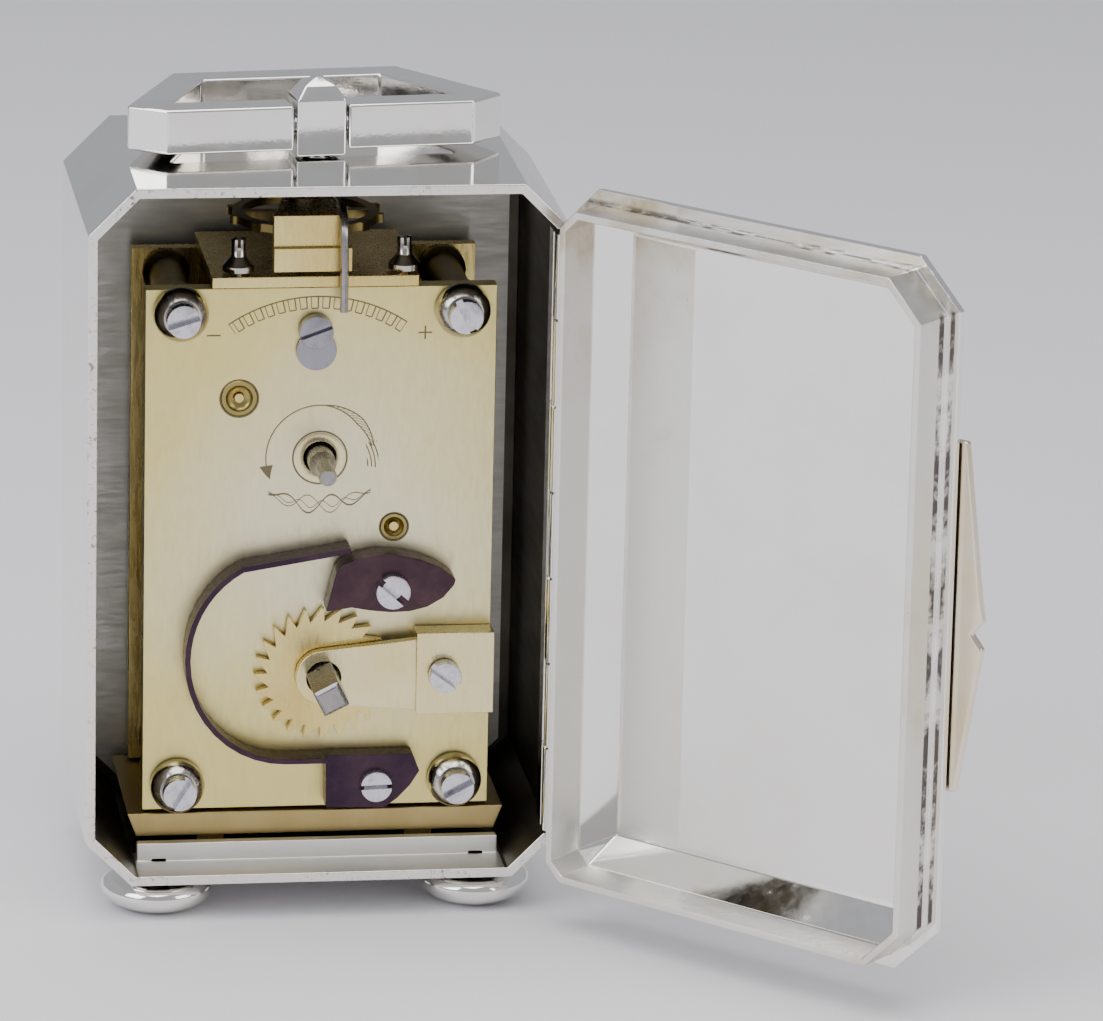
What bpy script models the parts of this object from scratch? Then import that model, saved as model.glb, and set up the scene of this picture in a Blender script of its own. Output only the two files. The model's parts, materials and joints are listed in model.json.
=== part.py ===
"""Carriage-style mantel clock: a silver case seen open from behind, with its key-wound movement."""
import math

import bmesh
import bpy
from mathutils import Matrix, Vector

for old in list(bpy.data.objects):
    bpy.data.objects.remove(old, do_unlink=True)

MM = 0.001
GAP = 0.3 * MM              # room between two pieces that touch
RUNNING = 0.06 * MM         # room round a shaft that turns in a hole

# ---- driving sizes, metres ----
PLATE_WIDTH = 38.2 * MM     # movement plates
PLATE_HEIGHT = 59.0 * MM
BACK_PLATE_THICK = 2.2 * MM
FRONT_PLATE_THICK = 1.5 * MM
PLATE_SPACING = 15.8 * MM   # between the plates' inner faces
WALL = 1.1 * MM             # case sheet
SIDE_ROOM = 5.8 * MM        # plate edge to case wall
TOP_ROOM = 12.1 * MM        # plate top to case roof, for the platform escapement
BACK_ROOM = 8.0 * MM        # case back rim to the back plate
CORNER_CUT = 5.1 * MM       # 45 degree cut on the case's corners
FOOT_RADIUS = 6.2 * MM
FOOT_HEIGHT = 4.0 * MM
FOOT_INSET = 6.5 * MM       # foot centre from the case's front and back
HINGE_RADIUS = 0.93 * MM
KNUCKLES = 7
DOOR_SHEET = 0.9 * MM
DOOR_DISH = 3.5 * MM        # how far the door's panel stands out
DOOR_SLOPE = 2.9 * MM
DOOR_COLLAR = 4.9 * MM      # height of the wall that plugs into the case
COLLAR_INSET = 1.5 * MM
COLLAR_THICK = 0.8 * MM
DOOR_OPEN = math.radians(134.6)
POST_WIDTH = 5.35 * MM
POST_DEPTH = 4.8 * MM
POST_SHOULDER = 6.5 * MM
POST_CAP = 2.2 * MM
BAIL_BAR = 4.2 * MM         # width of the carrying handle's bar
BAIL_TALL = 4.9 * MM
BAIL_SPAN = 41.4 * MM
BAIL_REACH = 18.2 * MM      # pivot to the far side of the handle
HANDLE_TURN = math.radians(5.5)
SEAT_THICK = 2.6 * MM
SEAT_HEIGHT = 3.2 * MM      # underside of the movement seat
WINDING_SQUARE = 3.0 * MM
ARBOR_RADIUS = 0.7 * MM
DIAL_THICK = 0.5 * MM
HAND_THICK = 0.3 * MM
GLASS_THICK = 0.7 * MM
FRONT_SHEET = 1.1 * MM

# ---- sizes that follow ----
CASE_WIDTH = PLATE_WIDTH + 2 * (SIDE_ROOM + WALL)
SEAT_TOP = SEAT_HEIGHT + SEAT_THICK
PLATE_FLOOR = SEAT_TOP + GAP
PLATE_TOP = PLATE_FLOOR + PLATE_HEIGHT
CASE_HEIGHT = PLATE_TOP + TOP_ROOM + WALL
PILLAR_BACK = BACK_ROOM + BACK_PLATE_THICK
FRONT_PLATE = PILLAR_BACK + PLATE_SPACING
MOTION_WORK = FRONT_PLATE + FRONT_PLATE_THICK + GAP
DIAL_BACK = MOTION_WORK + 2.0 * MM
HOUR_HAND = DIAL_BACK + DIAL_THICK + GAP
MINUTE_HAND = HOUR_HAND + HAND_THICK + GAP
GLASS_BACK = MINUTE_HAND + HAND_THICK + 2 * GAP
CASE_DEPTH = GLASS_BACK + GLASS_THICK + GAP + FRONT_SHEET
HALF_WIDTH = CASE_WIDTH / 2
HINGE_SIDE = HALF_WIDTH - HINGE_RADIUS - 0.02 * MM
HINGE_BORE = 0.5 * MM
REBATE = HINGE_RADIUS + GAP
HINGE_START = CORNER_CUT + 0.2 * MM
KNUCKLE_LENGTH = (CASE_HEIGHT - 2 * HINGE_START) / KNUCKLES
POST_MIDDLE = 14.8 * MM
BAR_CORNER = math.hypot(BAIL_BAR, BAIL_TALL) / 2
PIVOT_HEIGHT = CASE_HEIGHT + BAR_CORNER + GAP / 2
BAIL_REST = math.asin((PIVOT_HEIGHT - CASE_HEIGHT - GAP - BAIL_TALL / 2) / BAIL_REACH)
PLATFORM = PLATE_TOP + GAP
PLATFORM_THICK = 1.2 * MM
PLATFORM_TOP = PLATFORM + PLATFORM_THICK

# ---- train: arbor places on the plates, across and above the plate's bottom edge ----
RISE = PLATE_HEIGHT / 59.0          # heights on the plate below are drawn for 59 units and follow its height
BARREL_SPOT = (0.45 * MM, PLATE_FLOOR + 15.6 * RISE)
CENTRE_SPOT = (0.0, PLATE_FLOOR + 39.9 * RISE)
MIDDLE_SPOT = (8.23 * RISE, PLATE_FLOOR + 31.9 * RISE)
THIRD_SPOT = (-8.86 * RISE, PLATE_FLOOR + 46.7 * RISE)
CONTRATE_SPOT = (-0.57 * MM, PLATE_FLOOR + 52.06 * RISE)
CROWN_RADIUS = PLATE_TOP - 1.9 * MM - CONTRATE_SPOT[1]
ESCAPE_DEEP = FRONT_PLATE - 1.8 * MM
BALANCE_SPOT = (-0.8 * MM, ESCAPE_DEEP - 6.0 * MM)
LEVER_SPOT = (-0.68 * MM, ESCAPE_DEEP - 2.9 * MM)
BALANCE_RADIUS = BALANCE_SPOT[1] - BACK_ROOM - 2.2 * MM     # clear of the cock's upright
BALANCE_HEIGHT = PLATFORM_TOP + 3.7 * MM
CORNER_IN = 3.8 * MM        # pillar centre from the plate's sides
PILLAR_LOW = PLATE_FLOOR + 2.9 * MM
PILLAR_HIGH = PLATE_TOP - 2.6 * MM
CLICK_SPOT = (BARREL_SPOT[0] + 7.34 * RISE, BARREL_SPOT[1] + 10.03 * RISE)
SPRING_SPOT = (6.39 * MM, PLATE_FLOOR + 3.1 * RISE)
BRIDGE_SPOT = (13.6 * MM, BARREL_SPOT[1] + 0.4 * MM)
CLICK_LIFT = math.radians(-9.0)
RATCHET_TIP = 7.5 * RISE
RATCHET_ROOT = 6.0 * RISE
RATCHET_TEETH = 24
REAR_PLANE = BACK_ROOM - GAP    # rear face of what lies on the back plate
CLICK_THICK = 2.9 * MM
SILVER = ((0.86, 0.85, 0.82), 1.0, 0.12)
BRASS = ((0.78, 0.66, 0.34), 1.0, 0.3)
STEEL = ((0.62, 0.61, 0.64), 1.0, 0.25)
BLUED = ((0.09, 0.06, 0.09), 1.0, 0.3)

CLOCK = bpy.data.objects.new("clock", None)
bpy.context.collection.objects.link(CLOCK)


# ---- shared shaping ----
def material_for(name, look):
    colour, metallic, roughness = look
    material = bpy.data.materials.new(name)
    material.use_nodes = True
    shader = material.node_tree.nodes["Principled BSDF"]
    shader.inputs["Base Color"].default_value = (*colour, 1.0)
    shader.inputs["Metallic"].default_value = metallic
    shader.inputs["Roughness"].default_value = roughness
    return material


def make_object(name, mesh, look, place=(0, 0, 0), parent=None, turn=(0, 0, 0)):
    """One solid: faces outwards, own material, placed by its location and its parent."""
    bmesh.ops.recalc_face_normals(mesh, faces=mesh.faces)
    data = bpy.data.meshes.new(name)
    mesh.to_mesh(data)
    mesh.free()
    item = bpy.data.objects.new(name, data)
    bpy.context.collection.objects.link(item)
    item.parent = parent or CLOCK
    item.location = place
    item.rotation_euler = turn
    if look:
        data.materials.append(material_for(name, look))
    return item


def shade_round(item, angle=40.0):
    for face in item.data.polygons:
        face.use_smooth = True
    item.data.set_sharp_from_angle(angle=math.radians(angle))
    return item


def add_cutter(target, cutter, operation="DIFFERENCE"):
    """The cutter stays in the file, hidden, and shapes its target."""
    cutter.hide_render = True
    cutter.display_type = "WIRE"
    step = target.modifiers.new(cutter.name, "BOOLEAN")
    step.operation = operation
    step.solver = "EXACT"
    step.object = cutter
    return target


def circle(radius, middle=(0, 0), count=32, start=0.0, sweep=math.tau):
    steps = count if sweep >= math.tau else count + 1
    angles = [start + sweep * index / count for index in range(steps)]
    return [(middle[0] + radius * math.cos(a), middle[1] + radius * math.sin(a)) for a in angles]


def octagon(half_width, low, high, cut):
    return [(-half_width, low + cut), (-half_width + cut, low), (half_width - cut, low),
            (half_width, low + cut),
            (half_width, high - cut), (half_width - cut, high), (-half_width + cut, high),
            (-half_width, high - cut)]


def inset(outline, distance):
    """Move every side of a convex anticlockwise outline inwards."""
    moved = []
    count = len(outline)
    for index, point in enumerate(outline):
        before = Vector(outline[index - 1])
        here = Vector(point)
        after = Vector(outline[(index + 1) % count])
        first = (here - before).normalized()
        second = (after - here).normalized()
        first_in = Vector((-first.y, first.x))
        second_in = Vector((-second.y, second.x))
        shift = (first_in + second_in) * distance / (1 + first_in.dot(second_in))
        moved.append(tuple(here + shift))
    return moved


def lift(point, along, axis):
    """A drawing point and a distance along the axis, as a place in the clock's frame."""
    if axis == "deep":
        return (point[0], along, point[1])
    if axis == "across":
        return (along, point[0], point[1])
    return (point[0], point[1], along)


def plate(outline, start, stop, axis="deep", holes=()):
    """A flat sheet with holes, filled once and extruded."""
    mesh = bmesh.new()
    edges = []
    for loop in [outline, *holes]:
        corners = [mesh.verts.new(lift(point, start, axis)) for point in loop]
        for index, corner in enumerate(corners):
            edges.append(mesh.edges.new((corners[index - 1], corner)))
    filled = bmesh.ops.triangle_fill(mesh, use_beauty=True, use_dissolve=False, edges=edges)
    faces = [part for part in filled["geom"] if isinstance(part, bmesh.types.BMFace)]
    grown = bmesh.ops.extrude_face_region(mesh, geom=faces)
    corners = [part for part in grown["geom"] if isinstance(part, bmesh.types.BMVert)]
    bmesh.ops.translate(mesh, verts=corners, vec=Vector(lift((0, 0), stop - start, axis)))
    return mesh


def turned(profile, axis="deep", count=24, ring=False):
    """A lathe piece from (radius, along) points; a ring's profile closes on itself round a bore."""
    mesh = bmesh.new()
    rings = []
    for radius, along in profile:
        if radius < 1e-9:
            rings.append([mesh.verts.new(lift((0, 0), along, axis))])
        else:
            rings.append([mesh.verts.new(lift(point, along, axis)) for point in circle(radius,
                                                                                       count=count)])
    pairs = list(zip(rings, rings[1:]))
    if ring:
        pairs.append((rings[-1], rings[0]))
    for first, second in pairs:
        for index in range(count):
            corners = [first[index % len(first)], first[(index + 1) % len(first)],
                       second[(index + 1) % len(second)], second[index % len(second)]]
            mesh.faces.new(list(dict.fromkeys(corners)))
    if not ring:
        for end in (rings[0], rings[-1]):
            if len(end) > 1:
                mesh.faces.new(end)
    return mesh


def banded(loops, closed=False):
    """Loops of matching corners joined by bands; open ends are capped."""
    mesh = bmesh.new()
    rings = [[mesh.verts.new(point) for point in loop] for loop in loops]
    pairs = list(zip(rings, rings[1:]))
    if closed:
        pairs.append((rings[-1], rings[0]))
    for first, second in pairs:
        for index in range(len(first)):
            after = (index + 1) % len(first)
            mesh.faces.new((first[index], first[after], second[after], second[index]))
    if not closed:
        mesh.faces.new(rings[0])
        mesh.faces.new(rings[-1])
    return mesh


def block(low, high):
    mesh = bmesh.new()
    bmesh.ops.create_cube(mesh, size=1.0)
    size = Vector(high) - Vector(low)
    middle = (Vector(high) + Vector(low)) / 2
    bmesh.ops.transform(mesh, matrix=Matrix.Translation(middle) @ Matrix.Diagonal((*size, 1)),
                        verts=mesh.verts)
    return mesh


def gear_outline(teeth, pitch_radius, addendum, dedendum, tooth_at=0.0, root_share=0.52, tip_share=0.24):
    """Plain trapezoid teeth; the first tooth stands at the angle tooth_at."""
    step = math.tau / teeth
    points = []
    for index in range(teeth):
        middle = tooth_at + index * step
        for radius, share in ((pitch_radius - dedendum, -root_share), (pitch_radius + addendum, -tip_share),
                              (pitch_radius + addendum, tip_share), (pitch_radius - dedendum, root_share)):
            angle = middle + share * step / 2
            points.append((radius * math.cos(angle), radius * math.sin(angle)))
    return points


def angle_between(first, second):
    return math.atan2(second[1] - first[1], second[0] - first[0])


def distance_between(first, second):
    return math.hypot(second[0] - first[0], second[1] - first[1])


def plate_place(spot, deep=0.0):
    return (spot[0], deep, spot[1])


# ---- case ----
CASE_OUTLINE = octagon(HALF_WIDTH, 0.0, CASE_HEIGHT, CORNER_CUT)
FRONT_BEVEL = 0.6 * MM
WINDOW_CUT = 4.0 * MM
WINDOW_HALF = HALF_WIDTH - 7.0 * MM
WINDOW_LOW = 9.6 * MM
WINDOW_HIGH = CASE_HEIGHT - WINDOW_LOW
FOOT_ACROSS = 17.5 * MM
FOOT_STUD = 1.2 * MM
POST_STUD = 1.5 * MM
FEET = {
    "foot_back_left": (-FOOT_ACROSS, FOOT_INSET),
    "foot_back_right": (FOOT_ACROSS, FOOT_INSET),
    "foot_front_left": (-FOOT_ACROSS, CASE_DEPTH - FOOT_INSET),
    "foot_front_right": (FOOT_ACROSS, CASE_DEPTH - FOOT_INSET),
}
LEDGE_DEEP = DOOR_COLLAR + GAP     # behind the closed door's collar
LEDGE_THICK = 1.2 * MM
LEDGE_TOP = SEAT_HEIGHT - 0.1 * MM
LEDGE_HALF = HALF_WIDTH - CORNER_CUT - 1.0 * MM


def build_case():
    window = octagon(WINDOW_HALF, WINDOW_LOW, WINDOW_HIGH, WINDOW_CUT)
    inside = inset(CASE_OUTLINE, WALL)
    front_inside = CASE_DEPTH - FRONT_SHEET
    rings = [
        [lift(point, 0.0, "deep") for point in CASE_OUTLINE],
        [lift(point, CASE_DEPTH - FRONT_BEVEL, "deep") for point in CASE_OUTLINE],
        [lift(point, CASE_DEPTH, "deep") for point in inset(CASE_OUTLINE, FRONT_BEVEL)],
        [lift(point, CASE_DEPTH, "deep") for point in window],
        [lift(point, front_inside, "deep") for point in window],
        [lift(point, front_inside, "deep") for point in inside],
        [lift(point, 0.0, "deep") for point in inside],
    ]
    case = make_object("case_body", banded(rings, closed=True), SILVER)
    ledge = make_object("ledge_shape", block((-LEDGE_HALF, LEDGE_DEEP, WALL / 2),
                                             (LEDGE_HALF, LEDGE_DEEP + LEDGE_THICK, LEDGE_TOP)), None)
    add_cutter(case, ledge, "UNION")
    rebate = make_object("hinge_rebate", block((HALF_WIDTH - 3 * WALL, -WALL, HINGE_START - GAP),
                                               (HALF_WIDTH + WALL, REBATE,
                                                CASE_HEIGHT - HINGE_START + GAP)), None)
    add_cutter(case, rebate)
    for name, (across, deep) in FEET.items():
        hole = turned([(FOOT_STUD + GAP, -WALL), (FOOT_STUD + GAP, 0.9 * WALL + GAP)], "up")
        add_cutter(case, make_object(name + "_hole", hole, None, (across, deep, 0.0)))
    hole = turned([(POST_STUD + GAP, -2 * WALL), (POST_STUD + GAP, WALL)], "up")
    add_cutter(case, make_object("post_hole", hole, None, (0.0, POST_MIDDLE, CASE_HEIGHT)))


def build_feet():
    height = FOOT_HEIGHT
    wide = FOOT_RADIUS
    profile = [(0, -GAP - height), (0.42 * wide, -GAP - height), (0.72 * wide, -GAP - 0.9 * height),
               (0.93 * wide, -GAP - 0.7 * height), (wide, -GAP - 0.48 * height),
               (0.95 * wide, -GAP - 0.28 * height),
               (0.78 * wide, -GAP - 0.13 * height), (0.55 * wide, -GAP - 0.07 * height), (0.5 * wide, -GAP),
               (FOOT_STUD, -GAP), (FOOT_STUD, 0.9 * WALL), (0, 0.9 * WALL)]
    for name, (across, deep) in FEET.items():
        shade_round(make_object(name, turned(profile, "up", 28), SILVER, (across, deep, 0.0)))


def build_front():
    """Glass behind the window, its retaining frame and the dial."""
    glass_edge = octagon(WINDOW_HALF + 1.8 * MM, WINDOW_LOW - 1.8 * MM, WINDOW_HIGH + 1.8 * MM, WINDOW_CUT)
    make_object("front_glass", plate(glass_edge, GLASS_BACK, GLASS_BACK + GLASS_THICK),
                ((0.85, 0.9, 0.9), 0.0, 0.05))
    edge = octagon(WINDOW_HALF + 3.2 * MM, WINDOW_LOW - 3.2 * MM, WINDOW_HIGH + 3.2 * MM, WINDOW_CUT)
    opening = octagon(WINDOW_HALF - 0.6 * MM, WINDOW_LOW + 0.6 * MM, WINDOW_HIGH - 0.6 * MM, WINDOW_CUT)
    make_object("glass_frame", plate(edge, HOUR_HAND, GLASS_BACK - GAP, holes=[opening]), BRASS)
    dial_edge = inset(CASE_OUTLINE, WALL + 1.6 * MM)
    dial = plate(dial_edge, DIAL_BACK, DIAL_BACK + DIAL_THICK, holes=[circle(2.0 * MM, CENTRE_SPOT)])
    make_object("dial", dial, ((0.83, 0.82, 0.77), 0.6, 0.4))


# ---- carrying handle ----
def build_handle():
    frame = bpy.data.objects.new("handle_frame", None)
    bpy.context.collection.objects.link(frame)
    frame.parent = CLOCK
    frame.location = (0.0, POST_MIDDLE, 0.0)
    frame.rotation_euler = (0, 0, HANDLE_TURN)
    pivot_deep = (BAIL_BAR - POST_DEPTH) / 2
    half = POST_WIDTH / 2
    near = POST_DEPTH / 2
    levels = [(1.0, CASE_HEIGHT + GAP), (1.0, CASE_HEIGHT + POST_SHOULDER),
              (0.62, CASE_HEIGHT + POST_SHOULDER + 0.66 * POST_CAP),
              (0.12, CASE_HEIGHT + POST_SHOULDER + POST_CAP)]
    loops = []
    for share, high in levels:
        loops.append([(-half * share, -near * share, high), (half * share, -near * share, high),
                      (half * share, near * share, high), (-half * share, near * share, high)])
    post = make_object("handle_post", banded(loops), SILVER, parent=frame)
    stud_bottom = CASE_HEIGHT - WALL - 1.7 * MM
    stud = turned([(POST_STUD, stud_bottom), (POST_STUD, CASE_HEIGHT + 2 * GAP)], "up")
    add_cutter(post, make_object("post_stud", stud, None, parent=frame), "UNION")
    pin_radius = 0.9 * MM
    bore = turned([(pin_radius + RUNNING, -POST_WIDTH), (pin_radius + RUNNING, POST_WIDTH)], "across")
    add_cutter(post, make_object("post_bore", bore, None, (0, pivot_deep, PIVOT_HEIGHT), frame))
    nut = plate(circle(2.9 * MM, count=6), CASE_HEIGHT - WALL - GAP - 1.4 * MM, CASE_HEIGHT - WALL - GAP,
                "up",
                [circle(POST_STUD + RUNNING, count=24)])
    make_object("post_nut", nut, BRASS, parent=frame)

    swing = bpy.data.objects.new("handle_swing", None)
    bpy.context.collection.objects.link(swing)
    swing.parent = frame
    swing.location = (0, pivot_deep, PIVOT_HEIGHT)
    swing.rotation_euler = (-BAIL_REST, 0, 0)
    bar = BAIL_BAR
    outer = [(-0.408 * BAIL_SPAN, -bar / 2), (0.408 * BAIL_SPAN, -bar / 2), (BAIL_SPAN / 2, bar / 3),
             (0.304 * BAIL_SPAN, BAIL_REACH), (-0.304 * BAIL_SPAN, BAIL_REACH), (-BAIL_SPAN / 2, bar / 3)]
    bail = make_object("handle_bail",
                       plate(outer, -BAIL_TALL / 2, BAIL_TALL / 2, "up", [inset(outer, bar)]), SILVER,
                       parent=swing)
    gap_half = half + GAP
    slot = block((-gap_half, -bar, -BAIL_TALL), (gap_half, 0.8 * bar, BAIL_TALL))
    add_cutter(bail, make_object("bail_slot", slot, None, parent=swing))
    pin_half = half + GAP + 3.6 * MM
    hole = turned([(pin_radius + RUNNING, -pin_half - GAP), (pin_radius + RUNNING, pin_half + GAP)],
                  "across")
    add_cutter(bail, make_object("bail_bore", hole, None, parent=swing))
    edge = bail.modifiers.new("edge", "BEVEL")
    edge.width = 0.25 * MM
    edge.segments = 1
    edge.limit_method = "ANGLE"
    pin = turned([(0, -pin_half), (pin_radius, -pin_half), (pin_radius, pin_half), (0, pin_half)], "across")
    shade_round(make_object("handle_pin", pin, STEEL, parent=swing))


# ---- door and hinge ----
DOOR_EDGE = HINGE_RADIUS + 0.37 * MM                # plate's hinge side from the axis
DOOR_WIDTH = HINGE_SIDE + HALF_WIDTH
DOOR_INNER = GAP                                    # plate's inner face from the rim
DOOR_OUTER = DOOR_INNER + DOOR_SHEET
LEAF_THICK = 0.5 * MM
SLIVER = 0.02 * MM          # keeps joined shapes from sharing a face


def door_outline():
    cut_foot = CORNER_CUT - (HALF_WIDTH - HINGE_SIDE)
    rise = cut_foot - DOOR_EDGE
    return [(DOOR_EDGE, rise), (cut_foot, 0.0), (DOOR_WIDTH - CORNER_CUT, 0.0), (DOOR_WIDTH, CORNER_CUT),
            (DOOR_WIDTH, CASE_HEIGHT - CORNER_CUT), (DOOR_WIDTH - CORNER_CUT, CASE_HEIGHT),
            (cut_foot, CASE_HEIGHT), (DOOR_EDGE, CASE_HEIGHT - rise)]


def knuckle_shape(parent, name, first):
    """Every other knuckle of the hinge as one cutter mesh, joined on to a leaf."""
    mesh = bmesh.new()
    for index in range(first, KNUCKLES, 2):
        low = HINGE_START + index * KNUCKLE_LENGTH + GAP / 2
        high = low + KNUCKLE_LENGTH - GAP
        piece = turned([(HINGE_RADIUS, low), (HINGE_RADIUS, high)], "up", 16)
        data = bpy.data.meshes.new("knuckle")
        piece.to_mesh(data)
        piece.free()
        mesh.from_mesh(data)
    return make_object(name, mesh, None, parent=parent)


def build_leaf(name, strip, tongues, first, parent, look):
    """A hinge leaf: a strip, a tongue to each knuckle, the knuckles and the pin's bore."""
    leaf = make_object(name, block(*strip), look, parent=parent)
    low, high = tongues
    for index in range(first, KNUCKLES, 2):
        bottom = HINGE_START + index * KNUCKLE_LENGTH + GAP / 2
        tongue = block((low[0], low[1], bottom + SLIVER),
                       (high[0], high[1], bottom + KNUCKLE_LENGTH - GAP - SLIVER))
        add_cutter(leaf, make_object(name + "_tongue", tongue, None, parent=parent), "UNION")
    add_cutter(leaf, knuckle_shape(parent, name + "_knuckles", first), "UNION")
    bore = turned([(HINGE_BORE, 0.0), (HINGE_BORE, CASE_HEIGHT)], "up", 12)
    add_cutter(leaf, make_object(name + "_bore", bore, None, parent=parent))
    return leaf


def build_door():
    hinge = bpy.data.objects.new("hinge_line", None)
    bpy.context.collection.objects.link(hinge)
    hinge.parent = CLOCK
    hinge.location = (HINGE_SIDE, 0, 0)
    leaf_face = HALF_WIDTH - WALL - GAP - HINGE_SIDE
    low = HINGE_START + GAP
    high = CASE_HEIGHT - HINGE_START - GAP
    build_leaf("hinge_case_leaf", ((leaf_face - LEAF_THICK, REBATE, low), (leaf_face, 4.0 * MM, high)),
               ((leaf_face - LEAF_THICK + 2 * SLIVER, 0.0), (leaf_face - SLIVER, 1.5 * REBATE)), 0, hinge,
               SILVER)
    pin_radius = HINGE_BORE - RUNNING
    pin = turned([(0, low), (pin_radius, low), (pin_radius, high), (0, high)], "up", 12)
    shade_round(make_object("hinge_pin", pin, STEEL, parent=hinge))

    swing = bpy.data.objects.new("door_swing", None)
    bpy.context.collection.objects.link(swing)
    swing.parent = hinge
    swing.rotation_euler = (0, 0, math.pi + DOOR_OPEN)
    strip_far = DOOR_EDGE + COLLAR_INSET - 2 * GAP
    build_leaf("hinge_door_leaf", ((DOOR_EDGE, -LEAF_THICK, low), (strip_far, 0.0, high)),
               ((0.75 * HINGE_RADIUS, SLIVER - LEAF_THICK), (1.2 * DOOR_EDGE, -SLIVER)), 1, swing, SILVER)
    outline = door_outline()
    slope_top = COLLAR_INSET + COLLAR_THICK
    slope_foot = slope_top + DOOR_SLOPE
    rings = [(slope_foot, DOOR_INNER + DOOR_DISH), (slope_top, DOOR_INNER),
             (slope_top, DOOR_INNER - DOOR_COLLAR),
             (COLLAR_INSET, DOOR_INNER - DOOR_COLLAR), (COLLAR_INSET, DOOR_INNER), (0.0, DOOR_INNER),
             (0.0, DOOR_OUTER), (slope_top, DOOR_OUTER), (slope_foot, DOOR_OUTER + DOOR_DISH)]
    loops = [[lift(point, out, "deep") for point in inset(outline, distance)] for distance, out in rings]
    make_object("door_shell", banded(loops), SILVER, parent=swing)
    build_thumb_piece(swing)


THUMB_LOW = 20.7 * MM
THUMB_HIGH = CASE_HEIGHT - 19.2 * MM
THUMB_NOTCH = 38.5 * MM
THUMB_OUT = 3.5 * MM
THUMB_SEAT = 1.9 * MM


def build_thumb_piece(swing):
    """A low gable of sheet with a notch, fixed to the border's outer face at the door's free edge."""
    edge = DOOR_WIDTH
    outline = [(edge - THUMB_SEAT, THUMB_LOW), (edge + 0.7 * MM, THUMB_LOW),
               (edge + 0.85 * THUMB_OUT, THUMB_NOTCH - 4.2 * MM),
               (edge + THUMB_OUT, THUMB_NOTCH - 1.5 * MM),
               (edge + 0.6 * THUMB_OUT, THUMB_NOTCH), (edge + THUMB_OUT, THUMB_NOTCH + 1.5 * MM),
               (edge + 0.85 * THUMB_OUT, THUMB_NOTCH + 4.2 * MM), (edge + 0.7 * MM, THUMB_HIGH),
               (edge - THUMB_SEAT, THUMB_HIGH)]
    sheet = plate(outline, DOOR_OUTER + GAP, DOOR_OUTER + GAP + DOOR_SHEET)
    make_object("door_thumb_piece", sheet, ((0.85, 0.72, 0.48), 1.0, 0.2), parent=swing)


# ---- movement frame ----
def build_seat():
    half_top = HALF_WIDTH - CORNER_CUT - 0.1 * MM
    outline = [(-half_top + 1.0 * MM, SEAT_HEIGHT), (half_top - 1.0 * MM, SEAT_HEIGHT),
               (half_top, SEAT_TOP),
               (-half_top, SEAT_TOP)]
    back = BACK_ROOM - 0.5 * MM
    front = FRONT_PLATE + FRONT_PLATE_THICK + 0.5 * MM
    seat = make_object("movement_seat", plate(outline, back, front), BRASS)
    for side in (-1, 1):
        middle = side * 11.5 * MM
        rail = block((middle - 1.5 * MM, back + 1.0 * MM, WALL + GAP), (middle + 1.5 * MM, front - 1.0 * MM,
                                                                         SEAT_HEIGHT + MM))
        add_cutter(seat, make_object("seat_rail", rail, None), "UNION")


PILLAR_SPOTS = {
    "top_left": (-PLATE_WIDTH / 2 + CORNER_IN, PILLAR_HIGH),
    "top_right": (PLATE_WIDTH / 2 - CORNER_IN, PILLAR_HIGH),
    "bottom_left": (-PLATE_WIDTH / 2 + CORNER_IN, PILLAR_LOW),
    "bottom_right": (PLATE_WIDTH / 2 - CORNER_IN, PILLAR_LOW),
}
SLOT_ANGLES = {"top_left": 20.0, "top_right": -70.0, "bottom_left": 57.0, "bottom_right": 25.0}
SCREW_SHANK = 1.0 * MM
PLATFORM_SCREWS = {"platform_screw_left": -9.0 * MM, "platform_screw_right": 9.0 * MM}
PLATFORM_SCREW_DEEP = BACK_ROOM + BACK_PLATE_THICK / 2


def build_plates():
    half = PLATE_WIDTH / 2
    outline = [(-half, PLATE_FLOOR), (half, PLATE_FLOOR), (half, PLATE_TOP), (-half, PLATE_TOP)]
    pivots = [circle(ARBOR_RADIUS * 0.7 + RUNNING, spot, 20) for spot in (MIDDLE_SPOT, THIRD_SPOT)]
    shanks = [circle(SCREW_SHANK + GAP, spot, 16) for spot in PILLAR_SPOTS.values()]
    small = [circle(0.9 * MM, spot, 16) for spot in (CLICK_SPOT, SPRING_SPOT, BRIDGE_SPOT)]
    back_holes = [circle(2.2 * MM, BARREL_SPOT), circle(1.8 * MM, CENTRE_SPOT),
                  circle(1.2 * MM, CONTRATE_SPOT, 20), circle(0.9 * MM, lock_spot(), 16)]
    back = plate(outline, BACK_ROOM, BACK_ROOM + BACK_PLATE_THICK,
                 holes=pivots + shanks + small + back_holes)
    back_plate = make_object("back_plate", back, BRASS)
    for name, across in PLATFORM_SCREWS.items():
        hole = turned([(0.8 * MM, PLATE_TOP - 2.5 * MM), (0.8 * MM, PLATE_TOP + MM)], "up", 16)
        add_cutter(back_plate, make_object(name + "_hole", hole, None, (across, PLATFORM_SCREW_DEEP, 0.0)))
    front_holes = [circle(1.3 * MM, CENTRE_SPOT), circle(ARBOR_RADIUS * 0.7 + RUNNING, CONTRATE_SPOT, 20),
                   circle(ARBOR_RADIUS + RUNNING, BARREL_SPOT, 20),
                   circle(ARBOR_RADIUS * 0.7 + RUNNING, minute_wheel_spot(), 20)]
    front = plate(outline, FRONT_PLATE, FRONT_PLATE + FRONT_PLATE_THICK, holes=pivots + front_holes)
    make_object("front_plate", front, BRASS)


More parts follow.
